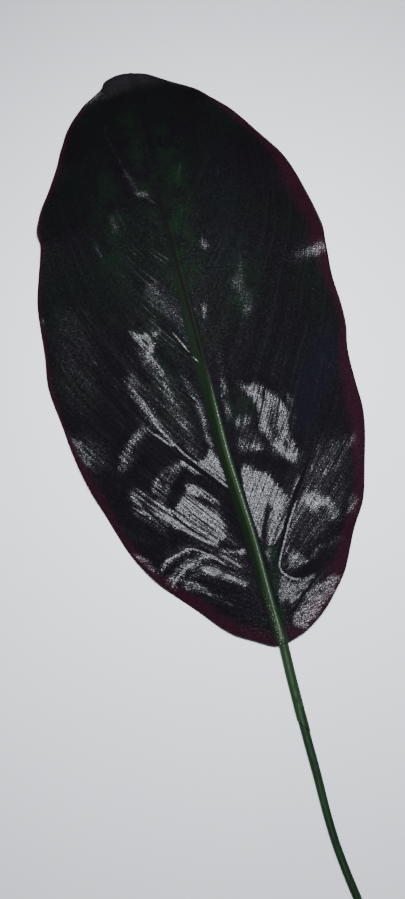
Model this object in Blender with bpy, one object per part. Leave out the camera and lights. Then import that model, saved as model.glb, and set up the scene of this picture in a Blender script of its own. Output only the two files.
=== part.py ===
"""Artificial cordyline leaf, lying as it does when it is put down on a table.

Lengths below are in millimetres and become metres when a mesh is made.
Origin: where the midrib leaves the blade, on the flat under the socket.
+Y runs from the cut stem to the tip, +Z is up, the leaf's own left is -X.
"""
import math

import bmesh
import bpy
import numpy as np

MM = 0.001

BLADE_LENGTH = 347.2      # along the midrib, base to tip
BLADE_THICK = 0.85        # measured straight down, 0.6 or more across the sheet
GAP = 0.3                 # clearance between neighbouring pieces

BLADE_ROWS = 88           # mesh lines that follow the side veins
NEAR_RIB = (0.0, 0.9, 1.7, 2.6, 3.8, 6.0)   # first columns, from the midrib
FAR_COLUMNS = 8           # columns from there to the margin

SOCKET_AXIS = 2.3         # height of the socket's axis over the table
SOCKET_RADIUS = 2.45
SOCKET_BORE = 1.85
SOCKET_DEPTH_Y = -27.0    # floor of the socket
WIRE_HOLE_Y = -21.0       # floor of the narrow hole for the wire
SOCKET_END_Y = -39.6      # middle of the slanted end
SLANT = -1.43             # how far the end runs in y for each mm of x
RIB_END_Y = 304.0

SPIGOT_RADIUS = 1.55
SPIGOT_END_Y = -27.6
SHEATH_BORE = 0.95
WIRE_RADIUS = 0.65
WIRE_END_Y = -21.6
CUT_END_Y = -190.0
WIRE_PROUD = 0.6          # how far the wire stands out of the cut end
STEM_SIDES = 18           # one flat of the stem lies on the table

# Margins from base to tip and the midrib, read off the photo in plan.
LEFT_MARGIN = [(0, 0), (-4.6, .2), (-13, 4.6), (-24.5, 11.6), (-37.7, 25.6), (-50.7, 39.7),
               (-59, 51.7), (-65.8, 64.1), (-74.1, 87.8), (-81, 111.9), (-85.5, 135.9),
               (-88.5, 160.2), (-87.2, 178), (-86.4, 196.9), (-84.6, 212.1), (-80.5, 227),
               (-77.2, 238), (-75.6, 246), (-76.9, 255.5), (-74.3, 264.9), (-71, 272.2),
               (-64.1, 282.6), (-56.8, 294.4), (-52.2, 306), (-45.8, 318.3), (-34, 330.2),
               (-25.4, 335.1), (-20.2, 338.6), (-17, 344.5), (-11.4, 347.4), (-5.5, 348),
               (0, 347.2)]
RIGHT_MARGIN = [(0, 0), (3.8, .6), (13.1, 3.8), (24, 10.7), (33.4, 19.5), (40.8, 28.1),
                (52.1, 48), (59.5, 59.6), (65.2, 74.7), (71.2, 94.5), (73.3, 106.6),
                (73.6, 120), (75.9, 141.4), (79.6, 155.7), (80.5, 168), (79.7, 187),
                (81.4, 205), (83.3, 216), (83.1, 228), (81.5, 240.3), (77.6, 256.4),
                (72.5, 271), (63.3, 289.1), (52, 305.2), (42.3, 316), (35.2, 325.3),
                (22, 335.7), (13.9, 341.7), (8.3, 344.8), (0, 347.2)]
MIDRIB = [(0, 0), (-1.3, 23.7), (-2.2, 53.8), (-3.2, 82.9), (-4.4, 120), (-4.6, 150),
          (-3.6, 187), (-2.1, 235), (-0.9, 273), (0.6, 310), (1.4, 335), (0, 347.2)]
STEM_PATH = [(0, 0), (-0.4, -12), (-0.6, -24), (-0.7, -44), (-0.6, -62), (-0.8, -80),
             (-0.3, -94), (1.4, -109), (4.1, -126), (7.6, -147), (11.5, -169), (15.4, -190)]

# Height of the blade's upper face: over the midrib and along either margin.
CREST = [(0, 5.9), (30, 7.2), (70, 9.0), (120, 10.6), (170, 11.0), (230, 9.2), (290, 6.0),
         (325, 3.2), (BLADE_LENGTH, 2.0)]
HUMP = [(0, 1.9), (60, 1.8), (100, 1.6), (200, 1.0), (300, .5), (BLADE_LENGTH, .2)]
HUMP_HALF = [(0, 2.75), (60, 2.6), (150, 2.1), (250, 1.5), (BLADE_LENGTH, 1.1)]
RIB_RADIUS = [(0, SOCKET_RADIUS), (25, 2.3), (60, 2.1), (150, 1.65), (250, 1.1), (310, .8)]
LEFT_RIM = [(0, 4.0), (14, 3.6), (34, 1.4), (48, 4.4), (66, 2.2), (84, 1.6), (98, 4.6),
            (122, 3.2), (142, .85), (165, 3.4), (190, 1.4), (212, 3.8), (232, 5.8), (246, 6.8),
            (258, 2.6), (276, .85), (296, 3.6), (312, 1.6), (328, 2.8), (338, 4.3),
            (BLADE_LENGTH, 1.8)]
RIGHT_RIM = [(0, 4.0), (10, 4.6), (24, 3.2), (42, .85), (60, 3.2), (78, 1.8), (96, 3.8),
             (116, 6.4), (138, 3.2), (160, .85), (180, 3.2), (196, 6.6), (208, 6.2), (224, 2.2),
             (240, .85), (264, 3.2), (288, 1.2), (304, 3.6), (316, 4.2), (330, 1.8), (340, .85),
             (BLADE_LENGTH, 1.8)]
SHEET_LEVEL = 2.6         # where the broad droop of each half ends

# Pressed folds: path from one end to the other, height, reach to the left, to the right.
FOLDS = {
    "valley beside the rib": ([(-8, 50), (-11, 66), (-11, 84)], -1.7, 6, 4),
    "hook": ([(-8, 84), (-17, 94), (-26, 98.5), (-33, 92), (-40, 84)], -1.5, 3.2, 3.2),
    "left main vein": ([(-5, 81), (-20, 96), (-31, 114), (-40, 123), (-47, 137), (-52, 160)],
                       -1.3, 1.6, 1.6),
    "left main vein bank": ([(-6, 86), (-18, 99), (-29, 117), (-38, 128), (-44, 142),
                             (-47, 160)], .9, 3.0, 3.0),
    "curved ridge": ([(-8, 92), (-11.5, 104), (-12, 118), (-13, 134), (-17, 150), (-25, 168)],
                     1.3, 2.2, 2.6),
    "gutter by the curved ridge": ([(-16, 106), (-18, 118), (-20, 134), (-25, 150)],
                                   -1.1, 3.0, 2.2),
    "second left vein": ([(-6, 156), (-13, 171), (-20, 182), (-28, 200), (-36, 226)],
                         -.9, 1.8, 1.6),
    "upper left vein": ([(-4, 252), (-14, 268), (-20, 292), (-24, 316)], -.7, 1.8, 1.8),
    "upper arc": ([(-56, 45), (-46, 54), (-34, 57.5), (-22, 54), (-12, 49)], 1.5, 3.6, 3.2),
    "gutter of the arcs": ([(-51, 43), (-42, 50), (-33, 53), (-24, 51)], -1.0, 2.4, 2.4),
    "lower arc": ([(-50, 37), (-42, 46), (-33, 49), (-22, 47), (-12, 41)], 1.4, 3.0, 3.4),
    "third arc": ([(-40, 42), (-30, 42), (-20, 38), (-9, 31)], .9, 2.2, 2.6),
    "foot of the left patch": ([(-10, 47), (-26, 54), (-42, 63), (-57, 75)], -1.4, 3.4, 4.2),
    "left streak": ([(-62, 108), (-52, 120), (-43, 127)], 1.6, 4.0, 3.4),
    "dip under the streak": ([(-60, 100), (-50, 108), (-40, 112)], -1.5, 4, 4),
    "pucker": ([(3, 98.5), (13, 97), (22, 90.5), (32, 84)], -2.1, 4.0, 4.0),
    "right main vein": ([(8.7, 38), (13, 46), (20, 59), (31, 74), (40, 88), (47, 100)],
                        -1.5, 1.7, 1.6),
    "loop of the right vein": ([(8.7, 39), (10, 33), (15, 29.5), (25, 29), (33, 32)],
                               -1.3, 2.2, 2.2),
    "branch by the rib": ([(3, 106), (5, 118), (9, 128), (11, 142)], -1.6, 1.8, 3.5),
    "low right vein": ([(7, 14), (17, 22), (28, 30)], -.7, 1.6, 1.6),
    "right dale": ([(46, 106), (56, 122), (64, 140)], -1.4, 9, 9),
}

# Flat raised pads between the folds: outline, height, half width of the soft edge.
PADS = {
    "left patch": ([(-12, 52), (-24, 57), (-42, 67), (-54, 80), (-46, 84), (-38, 82),
                    (-31, 89), (-25, 88), (-17, 79), (-14, 64)], 1.2, 3.0),
    "bean": ([(13, 136), (24, 137), (31, 127), (36, 114), (34, 102), (37, 90), (30, 88),
              (23, 98), (20, 108), (20, 124)], 1.5, 2.6),
    "low right blob": ([(12, 38), (22, 42), (31, 41), (33, 36), (24, 33), (14, 33)], 1.0, 2.6),
    "right blob": ([(30, 62), (33, 70), (41, 71), (44, 64), (38, 57)], 1.0, 3.0),
    "left heart": ([(-40, 188), (-34, 182), (-24, 184), (-26, 168), (-33, 160), (-40, 172)],
                   1.2, 3.5),
}
WAVES = 17                # broad vein waves from base to tip on each half
WAVE_HEIGHT = 0.28


def smooth(low, high, x):
    """Soft step from 0 at low to 1 at high."""
    t = np.clip((x - low) / (high - low), 0.0, 1.0)
    return t * t * (3 - 2 * t)


def spline(points, at, knots=None):
    """Smooth curve through points; `at` counts in chord shares or in the given knots."""
    p = np.asarray(points, float)
    if knots is None:
        knots = np.concatenate([[0], np.cumsum(np.linalg.norm(np.diff(p, axis=0), axis=1))])
        knots = knots / knots[-1]
    k = np.asarray(knots, float)
    slope = np.zeros_like(p)
    slope[1:-1] = (p[2:] - p[:-2]) / (k[2:] - k[:-2])[:, None]
    slope[0] = (p[1] - p[0]) / (k[1] - k[0])
    slope[-1] = (p[-1] - p[-2]) / (k[-1] - k[-2])
    at = np.clip(np.asarray(at, float), k[0], k[-1])
    i = np.clip(np.searchsorted(k, at, side="right") - 1, 0, len(k) - 2)
    h = (k[i + 1] - k[i])[..., None]
    s = (at - k[i])[..., None] / h
    return ((2 * s**3 - 3 * s**2 + 1) * p[i] + (s**3 - 2 * s**2 + s) * h * slope[i]
            + (3 * s**2 - 2 * s**3) * p[i + 1] + (s**3 - s**2) * h * slope[i + 1])


def level(table, y):
    """Height from a table of (y, height) at y."""
    p = np.asarray(table, float)
    order = np.argsort(p[:, 0])
    return spline(p[order, 1:], y, knots=p[order, 0])[..., 0]


def vein_net(side, vein, share):
    """Plan point at `share` of the way along a side vein, from midrib to margin."""
    root = vein ** 2.2
    end = 1 - .75 * (1 - root) ** 7 - .25 * (1 - root)
    along = root + (end - root) * (.72 * share + .28 * share ** 2)
    middle = spline(MIDRIB, along)
    edge = spline(LEFT_MARGIN if side < 0 else RIGHT_MARGIN, along)
    return middle + (edge - middle) * share[..., None]


def fold_height(x, y, path, height, reach_left, reach_right, fade=9.0):
    """Rounded ridge or valley along a path, fading at both ends."""
    p = np.asarray(path, float)
    lengths = np.linalg.norm(np.diff(p, axis=0), axis=1)
    starts = np.concatenate([[0], np.cumsum(lengths)])
    best = np.full(x.shape, 1e9)
    turn = np.zeros(x.shape)
    along = np.zeros(x.shape)
    for i, length in enumerate(lengths):
        ux, uy = (p[i + 1] - p[i]) / length
        t = np.clip((x - p[i, 0]) * ux + (y - p[i, 1]) * uy, 0, length)
        dx, dy = x - p[i, 0] - t * ux, y - p[i, 1] - t * uy
        far = np.hypot(dx, dy)
        near = far < best
        best = np.where(near, far, best)
        turn = np.where(near, ux * dy - uy * dx, turn)
        along = np.where(near, starts[i] + t, along)
    reach = np.where(turn > 0, reach_left, reach_right)
    ends = smooth(0, fade, along) * smooth(0, fade, starts[-1] - along)
    return height * np.exp(-(best / reach) ** 2) * (.25 + .75 * ends)


def pad_height(x, y, outline, height, soft):
    """Flat-topped rise over an outline, with a soft edge."""
    p = np.asarray(outline, float)
    inside = np.zeros(x.shape, bool)
    best = np.full(x.shape, 1e9)
    for a, b in zip(p, np.roll(p, -1, axis=0)):
        run = b - a
        t = np.clip(((x - a[0]) * run[0] + (y - a[1]) * run[1]) / (run @ run), 0, 1)
        best = np.minimum(best, np.hypot(x - a[0] - t * run[0], y - a[1] - t * run[1]))
        if a[1] != b[1]:
            crosses = (a[1] > y) != (b[1] > y)
            inside ^= crosses & (x < run[0] * (y - a[1]) / run[1] + a[0])
    return height * smooth(-soft, soft, np.where(inside, best, -best))


def upper_face(side, vein, share, x, y):
    """Height of the blade's upper face over the table."""
    yc = np.clip(y, 0, BLADE_LENGTH)
    hump = level(HUMP, yc)
    half = level(HUMP_HALF, yc)
    by_rib = level(CREST, yc) - hump
    rim = level(LEFT_RIM if side < 0 else RIGHT_RIM, yc)
    middle = spline([p[:1] for p in MIDRIB], yc, knots=[p[1] for p in MIDRIB])[..., 0]
    off = np.abs(x - middle)

    broad = smooth(0, 30, yc) * smooth(BLADE_LENGTH, BLADE_LENGTH - 30, yc)
    droop = (SHEET_LEVEL - by_rib) * broad
    z = by_rib + droop * share ** 2.4 + (rim - by_rib - droop) * share ** 5

    pressed = np.zeros(x.shape)
    for path, height, left, right in FOLDS.values():
        pressed += fold_height(x, y, path, height, left, right)
    for outline, height, soft in PADS.values():
        pressed += pad_height(x, y, outline, height, soft)
    calm = smooth(6, 22, off) * smooth(1.0, .72, share) * smooth(8, 40, yc)
    calm = calm * (1 - .75 * smooth(170, 260, yc))
    pressed += WAVE_HEIGHT * calm * np.sin(2 * math.pi * WAVES * vein)

    z = z + pressed * smooth(half, half + 3.0, off) * smooth(1.0, .9, share)
    z = z + hump * np.exp(-(off / half) ** 4)
    return np.maximum(z, BLADE_THICK)


def half_width(y):
    """Rough half width of the blade at y, for placing the mesh columns."""
    return 84 * np.sqrt(np.clip(1 - ((y - 185) / 190) ** 2, 0.0, 1.0))


def blade_half(side):
    """Grid of upper-face points (rows by columns) of one half, poles left out."""
    rows = np.arange(1, BLADE_ROWS) / BLADE_ROWS
    near = np.array(NEAR_RIB + (NEAR_RIB[-1],) * FAR_COLUMNS)
    far = np.concatenate([np.zeros(len(NEAR_RIB)), np.arange(1, FAR_COLUMNS + 1) / FAR_COLUMNS])
    wide = half_width(BLADE_LENGTH * rows ** 2.2)[:, None] + 12
    share = near / wide + far * (1 - NEAR_RIB[-1] / wide)
    vein = np.repeat(rows[:, None], share.shape[1], axis=1)
    plan = vein_net(side, vein, share)
    z = upper_face(side, vein, share, plan[..., 0], plan[..., 1])
    return np.concatenate([plan, z[..., None]], axis=-1)


def blade_surface():
    """Upper-face points, triangles and the ring of margin points."""
    left, right = blade_half(-1), blade_half(1)
    points = [np.array([0.0, 0.0, CREST[0][1]]), np.array([0.0, BLADE_LENGTH, CREST[-1][1]])]
    right[:, 0] = left[:, 0]
    index = {}
    for name, grid in (("L", left), ("R", right)):
        for row in range(grid.shape[0]):
            for col in range(grid.shape[1]):
                if name == "R" and col == 0:
                    index["R", row, 0] = index["L", row, 0]
                    continue
                index[name, row, col] = len(points)
                points.append(grid[row, col])
    last = left.shape[0] - 1
    cols = left.shape[1]
    triangles = []
    for name, turn in (("L", -1), ("R", 1)):
        for col in range(cols - 1):
            for row in range(last):
                a, b = index[name, row, col], index[name, row, col + 1]
                c, d = index[name, row + 1, col + 1], index[name, row + 1, col]
                triangles += [(a, b, c)[::turn], (a, c, d)[::turn]]
            triangles.append((0, index[name, 0, col + 1], index[name, 0, col])[::turn])
            triangles.append((1, index[name, last, col], index[name, last, col + 1])[::turn])
    ring = [0] + [index["R", r, cols - 1] for r in range(last + 1)] + [1]
    ring += [index["L", r, cols - 1] for r in range(last, -1, -1)]
    return np.array(points), triangles, ring


def build_blade():
    """Closed blade: upper face, the same face lowered, and the strip round the margin."""
    upper, triangles, ring = blade_surface()
    count = len(upper)
    lower = upper - np.array([0, 0, BLADE_THICK])
    faces = list(triangles) + [tuple(count + i for i in t[::-1]) for t in triangles]
    for a, b in zip(ring, ring[1:] + ring[:1]):
        faces += [(a, count + a, count + b), (a, count + b, b)]
    return np.vstack([upper, lower]), faces


def ring_points(centre, along, radius, sides, floor=None, slant=0.0, turn=0.0):
    """Circle of points round a centre, square to the direction `along` in plan."""
    ux, uy = along
    points = []
    for i in range(sides):
        angle = 2 * math.pi * (i + turn) / sides
        across, up = radius * math.cos(angle), radius * math.sin(angle)
        x = centre[0] + across * uy + slant * across * ux
        y = centre[1] - across * ux + slant * across * uy
        z = centre[2] + up
        points.append((x, y, z if floor is None else max(z, floor)))
    return points


def tube(rings, closed_ends):
    """Join rings of equal size into a skin; closed_ends fans the first and last ring."""
    sides = len(rings[0])
    points = [p for ring in rings for p in ring]
    faces = []
    for r in range(len(rings) - 1):
        for i in range(sides):
            a, b = r * sides + i, r * sides + (i + 1) % sides
            faces += [(a, b, b + sides), (a, b + sides, a + sides)]
    for ring_start, flip in closed_ends:
        hub = len(points)
        points.append(tuple(np.mean(points[ring_start:ring_start + sides], axis=0)))
        for i in range(sides):
            a, b = ring_start + i, ring_start + (i + 1) % sides
            faces.append((hub, b, a) if flip else (hub, a, b))
    return points, faces


def stem_height(y):
    """Height of the stem's axis: the socket's at first, then down onto the table."""
    lying = stem_radius(-90) * math.cos(math.pi / STEM_SIDES)
    return SOCKET_AXIS + (lying - SOCKET_AXIS) * smooth(-50, -88, y)


def stem_radius(y):
    """Radius of the green stem."""
    return float(2.1 - .2 * smooth(-50, -90, np.asarray(y, float)))


def stem_frame(y):
    """Centre and plan direction (towards the tip) of the stem at y."""
    knots = [-p[1] for p in STEM_PATH]
    xs = [p[:1] for p in STEM_PATH]
    x = float(spline(xs, np.asarray(-y), knots=knots)[0])
    ahead = float(spline(xs, np.asarray(-y - .5), knots=knots)[0])
    run = np.array([ahead - x, .5]) if y < -.5 else np.array([0.0, 1.0])
    run = run / np.linalg.norm(run)
    return (x, y, float(stem_height(np.asarray(y, float)))), tuple(run)


def rib_frame(y):
    """Centre and plan direction of the midrib at y, under the blade's hump."""
    radius = float(level(RIB_RADIUS, np.asarray(y, float)))
    knots = [p[1] for p in MIDRIB]
    xs = [p[:1] for p in MIDRIB]
    x = float(spline(xs, np.asarray(float(y)), knots=knots)[0])
    ahead = float(spline(xs, np.asarray(y + .5), knots=knots)[0])
    run = np.array([ahead - x, .5])
    run = run / np.linalg.norm(run)
    crest = float(level(CREST, np.asarray(float(y)))) - BLADE_THICK - GAP
    return (x, y, crest - radius), tuple(run), radius


def build_midrib(sides=20):
    """Moulded midrib that ends in the socket for the stem; one closed body."""
    rings = []
    for y in (WIRE_HOLE_Y, SOCKET_DEPTH_Y):
        centre, run = stem_frame(y)
        rings.append(ring_points(centre, run, SHEATH_BORE, sides))
    for y in (SOCKET_DEPTH_Y, SOCKET_END_Y):
        centre, run = stem_frame(y)
        slant = SLANT if y == SOCKET_END_Y else 0.0
        rings.append(ring_points(centre, run, SOCKET_BORE, sides, slant=slant))
    centre, run = stem_frame(SOCKET_END_Y)
    rings.append(ring_points(centre, run, SOCKET_RADIUS, sides, floor=0.0, slant=SLANT))
    for y in (-32.0, -24.0, -16.0, -8.0, 3.0):
        centre, run = stem_frame(y)
        rings.append(ring_points(centre, run, SOCKET_RADIUS, sides, floor=0.0))
    for y in np.concatenate([np.arange(7, 60, 7), np.arange(62, RIB_END_Y - 2, 9)]):
        centre, run, radius = rib_frame(float(y))
        rings.append(ring_points(centre, run, radius, sides, floor=0.0))
    for back, share in ((1.2, .95), (.4, .7), (0.0, .35)):
        centre, run, radius = rib_frame(RIB_END_Y - back)
        rings.append(ring_points(centre, run, radius * share, sides))
    return tube(rings, [(0, True), ((len(rings) - 1) * sides, False)])


def sheath_stations():
    """Distances along the stem where its rings sit."""
    return [-48.0, -54, -60, -67, -74, -81, -88, -96, -104, -112, -121, -130, -140, -151,
            -163, -176]


def build_sheath(sides=STEM_SIDES):
    """Green stem: spigot in the socket, slanted shoulder, bore for the wire, cut end."""
    gap_y = GAP * math.hypot(1, SLANT)
    outer = []
    centre, run = stem_frame(SPIGOT_END_Y)
    outer.append(ring_points(centre, run, SPIGOT_RADIUS, sides))
    shoulder = SOCKET_END_Y - gap_y
    centre, run = stem_frame(shoulder)
    outer.append(ring_points(centre, run, SPIGOT_RADIUS, sides, slant=SLANT))
    outer.append(ring_points(centre, run, stem_radius(shoulder), sides, slant=SLANT))
    for y in sheath_stations() + [CUT_END_Y]:
        centre, run = stem_frame(y)
        outer.append(ring_points(centre, run, stem_radius(y), sides, floor=0.0))
    inner = []
    for y in [CUT_END_Y] + sheath_stations()[::-1] + [shoulder, SPIGOT_END_Y]:
        centre, run = stem_frame(y)
        inner.append(ring_points(centre, run, SHEATH_BORE, sides))
    points, faces = tube(outer + inner, [])
    last = (len(outer) + len(inner) - 1) * sides
    for i in range(sides):
        a, b = last + i, last + (i + 1) % sides
        c, d = i, (i + 1) % sides
        faces += [(a, b, d), (a, d, c)]
    return points, faces


def build_wire(sides=12):
    """Steel core of the stem, from the hole in the midrib to just past the cut end."""
    rings = []
    for y in [WIRE_END_Y, -30.0, -40.0] + sheath_stations() + [CUT_END_Y - WIRE_PROUD]:
        centre, run = stem_frame(max(y, CUT_END_Y))
        if y < CUT_END_Y:
            centre = (centre[0] - run[0] * WIRE_PROUD, centre[1] - run[1] * WIRE_PROUD, centre[2])
        rings.append(ring_points(centre, run, WIRE_RADIUS, sides))
    return tube(rings, [(0, True), ((len(rings) - 1) * sides, False)])


def make_material(name, colour, roughness, metallic=0.0):
    """Principled material with plain values."""
    material = bpy.data.materials.new(name)
    material.use_nodes = True
    shader = material.node_tree.nodes["Principled BSDF"]
    shader.inputs["Base Color"].default_value = (*colour, 1.0)
    shader.inputs["Roughness"].default_value = roughness
    shader.inputs["Metallic"].default_value = metallic
    return material


def add_piece(name, body, material):
    """Mesh object in metres with outward normals."""
    points, faces = body
    mesh = bpy.data.meshes.new(name)
    mesh.from_pydata([tuple(float(c) * MM for c in p) for p in points], [], faces)
    edit = bmesh.new()
    edit.from_mesh(mesh)
    bmesh.ops.recalc_face_normals(edit, faces=edit.faces)
    edit.to_mesh(mesh)
    edit.free()
    mesh.materials.append(material)
    piece = bpy.data.objects.new(name, mesh)
    bpy.context.scene.collection.objects.link(piece)
    return piece


def main():
    """Clear the scene and build the four pieces."""
    for old in list(bpy.data.objects):
        bpy.data.objects.remove(old, do_unlink=True)
    add_piece("leaf_blade", build_blade(),
              make_material("pressed_fabric_blade", (.013, .014, .016), .42))
    add_piece("midrib", build_midrib(),
              make_material("green_rib_plastic", (.05, .13, .06), .5))
    add_piece("stem", build_sheath(),
              make_material("green_stem_plastic", (.045, .11, .05), .45))
    add_piece("stem_wire", build_wire(),
              make_material("steel_core_wire", (.42, .42, .43), .4, 1.0))


main()
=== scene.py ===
"""Artificial cordyline leaf: its looks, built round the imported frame."""
import logging
import math
from dataclasses import dataclass
from enum import Enum

import bpy
import numpy as np
from mathutils import Matrix, Vector


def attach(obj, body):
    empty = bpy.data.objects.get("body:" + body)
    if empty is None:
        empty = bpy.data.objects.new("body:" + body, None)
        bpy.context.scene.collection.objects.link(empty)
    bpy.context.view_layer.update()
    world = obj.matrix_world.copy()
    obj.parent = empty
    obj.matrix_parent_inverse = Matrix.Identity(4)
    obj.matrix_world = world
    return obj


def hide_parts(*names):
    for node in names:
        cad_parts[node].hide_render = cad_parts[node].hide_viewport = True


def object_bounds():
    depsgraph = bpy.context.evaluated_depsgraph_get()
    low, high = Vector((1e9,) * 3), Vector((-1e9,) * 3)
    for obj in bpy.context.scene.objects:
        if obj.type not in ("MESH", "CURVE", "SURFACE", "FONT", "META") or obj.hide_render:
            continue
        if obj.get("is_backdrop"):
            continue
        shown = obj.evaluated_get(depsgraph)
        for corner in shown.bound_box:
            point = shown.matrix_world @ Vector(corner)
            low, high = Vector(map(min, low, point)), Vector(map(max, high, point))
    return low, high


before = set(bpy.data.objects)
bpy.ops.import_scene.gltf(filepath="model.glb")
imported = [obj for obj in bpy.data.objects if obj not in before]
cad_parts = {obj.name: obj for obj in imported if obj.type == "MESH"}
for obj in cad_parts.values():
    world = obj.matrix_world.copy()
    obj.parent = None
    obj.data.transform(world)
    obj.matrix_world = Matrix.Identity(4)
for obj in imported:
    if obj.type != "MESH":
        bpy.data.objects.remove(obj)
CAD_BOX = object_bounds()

logging.basicConfig(level=logging.INFO, format="%(message)s")
log = logging.getLogger("leaf")

MM = 0.001
LENGTH = 347.2
Path = tuple[tuple[float, float], ...]

# Plan of the leaf in mm, as in the CAD: base of the blade at 0, tip at +Y.
LEFT_MARGIN: Path = (
    (0, 0), (-4.6, .2), (-13, 4.6), (-24.5, 11.6), (-37.7, 25.6), (-50.7, 39.7), (-59, 51.7),
    (-65.8, 64.1), (-74.1, 87.8), (-81, 111.9), (-85.5, 135.9), (-88.5, 160.2), (-87.2, 178),
    (-86.4, 196.9), (-84.6, 212.1), (-80.5, 227), (-77.2, 238), (-75.6, 246), (-76.9, 255.5),
    (-74.3, 264.9), (-71, 272.2), (-64.1, 282.6), (-56.8, 294.4), (-52.2, 306), (-45.8, 318.3),
    (-34, 330.2), (-25.4, 335.1), (-20.2, 338.6), (-17, 344.5), (-11.4, 347.4), (-5.5, 348),
    (0, 347.2))
RIGHT_MARGIN: Path = (
    (0, 0), (3.8, .6), (13.1, 3.8), (24, 10.7), (33.4, 19.5), (40.8, 28.1), (52.1, 48),
    (59.5, 59.6), (65.2, 74.7), (71.2, 94.5), (73.3, 106.6), (73.6, 120), (75.9, 141.4),
    (79.6, 155.7), (80.5, 168), (79.7, 187), (81.4, 205), (83.3, 216), (83.1, 228),
    (81.5, 240.3), (77.6, 256.4), (72.5, 271), (63.3, 289.1), (52, 305.2), (42.3, 316),
    (35.2, 325.3), (22, 335.7), (13.9, 341.7), (8.3, 344.8), (0, 347.2))
MIDRIB: Path = (
    (0, 0), (-1.3, 23.7), (-2.2, 53.8), (-3.2, 82.9), (-4.4, 120), (-4.6, 150), (-3.6, 187),
    (-2.1, 235), (-0.9, 273), (0.6, 310), (1.4, 335), (0, 347.2))
STEM_PATH: Path = (
    (0, 0), (-0.4, -12), (-0.6, -24), (-0.7, -44), (-0.6, -62), (-0.8, -80), (-0.3, -94),
    (1.4, -109), (4.1, -126), (7.6, -147), (11.5, -169), (15.4, -190))

# Tables of (y, value) in mm. CREST, LEFT_RIM and RIGHT_RIM: height of the upper face over
# the midrib and along the margins. HUMP and HUMP_HALF: height and half width of the hump
# over the rib. RIB_LINE: how far right of the midrib its light line lies. RIB_RADIUS: of
# the plastic. SHEET_LEVEL: height that the blade droops to inside the rims.
CREST: Path = ((0, 5.9), (30, 7.2), (70, 9.0), (120, 10.6), (170, 11.0), (230, 9.2),
               (290, 6.0), (325, 3.2), (LENGTH, 2.0))
HUMP: Path = ((0, 1.9), (60, 1.8), (100, 1.6), (150, 1.1), (200, .55), (260, .25), (LENGTH, .1))
HUMP_HALF: Path = ((0, 2.3), (60, 2.1), (150, 1.8), (250, 1.4), (LENGTH, 1.1))
RIB_LINE: Path = ((0, .3), (10, .5), (30, 1.1), (55, 1.6), (75, 1.3), (97, 1.0), (122, 1.9),
                  (145, 2.6), (190, 1.5), (LENGTH, 1))
RIB_RADIUS: Path = ((0, 2.45), (25, 2.3), (60, 2.1), (150, 1.65), (250, 1.1), (310, .8))
LEFT_RIM: Path = (
    (0, 4.0), (14, 3.6), (34, 1.4), (48, 4.4), (66, 2.2), (84, 1.6), (98, 4.6), (122, 3.2),
    (142, .85), (165, 3.4), (190, 1.4), (212, 3.8), (232, 5.8), (246, 6.8), (258, 2.6),
    (276, .85), (296, 3.6), (312, 1.6), (328, 2.8), (338, 4.3), (LENGTH, 1.8))
RIGHT_RIM: Path = (
    (0, 4.0), (10, 4.6), (24, 3.2), (42, .85), (60, 3.2), (78, 1.8), (96, 3.8), (116, 6.4),
    (138, 3.2), (160, .85), (180, 3.2), (196, 6.6), (208, 6.2), (224, 2.2), (240, .85),
    (264, 3.2), (288, 1.2), (304, 3.6), (316, 4.2), (330, 1.8), (340, .85), (LENGTH, 1.8))
SHEET_LEVEL = 2.6


class Side(Enum):
    """Half of the blade, seen from above with the tip away."""

    LEFT = -1
    RIGHT = 1


@dataclass(frozen=True)
class Fold:
    """Pressed ridge (height above 0) or valley along a path, all in mm.

    Args:
        path: points from one end to the other.
        height: at the middle of the path.
        left: reach of the left flank, right: of the right one.
    """

    path: Path
    height: float
    left: float
    right: float

    def nearest(self, x: np.ndarray, y: np.ndarray) -> tuple[np.ndarray, ...]:
        """Returns: distance to the path, side of it (left above 0), mm along and mm to go."""
        p = np.asarray(self.path, float)
        lengths = np.linalg.norm(np.diff(p, axis=0), axis=1)
        starts = np.concatenate([[0], np.cumsum(lengths)])
        best = np.full(x.shape, 1e9)
        turn, along = np.zeros(x.shape), np.zeros(x.shape)
        for i, length in enumerate(lengths):
            ux, uy = (p[i + 1] - p[i]) / length
            t = np.clip((x - p[i, 0]) * ux + (y - p[i, 1]) * uy, 0, length)
            dx, dy = x - p[i, 0] - t * ux, y - p[i, 1] - t * uy
            far = np.hypot(dx, dy)
            near = far < best
            best = np.where(near, far, best)
            turn = np.where(near, ux * dy - uy * dx, turn)
            along = np.where(near, starts[i] + t, along)
        return best, turn, along, starts[-1] - along

    def at(self, x: np.ndarray, y: np.ndarray, fade: float = 9.0) -> np.ndarray:
        """Returns: the height this fold adds at plan points x, y."""
        best, turn, along, left_over = self.nearest(x, y)
        reach = np.where(turn > 0, self.left, self.right)
        ends = smooth(0, fade, along) * smooth(0, fade, left_over)
        return self.height * np.exp(-(best / reach) ** 2) * (.25 + .75 * ends)


@dataclass(frozen=True)
class Pad:
    """Flat-topped pressed area: outline, height and half width of its soft edge, in mm."""

    outline: Path
    height: float
    soft: float

    def at(self, x: np.ndarray, y: np.ndarray) -> np.ndarray:
        """Returns: the height this pad adds at plan points x, y."""
        inside = np.zeros(x.shape, bool)
        best = np.full(x.shape, 1e9)
        p = np.asarray(self.outline, float)
        for a, b in zip(p, np.roll(p, -1, axis=0)):
            run = b - a
            t = np.clip(((x - a[0]) * run[0] + (y - a[1]) * run[1]) / (run @ run), 0, 1)
            best = np.minimum(best, np.hypot(x - a[0] - t * run[0], y - a[1] - t * run[1]))
            if a[1] != b[1]:
                crosses = (a[1] > y) != (b[1] > y)
                inside ^= crosses & (x < run[0] * (y - a[1]) / run[1] + a[0])
        return self.height * smooth(-self.soft, self.soft, np.where(inside, best, -best))


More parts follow.
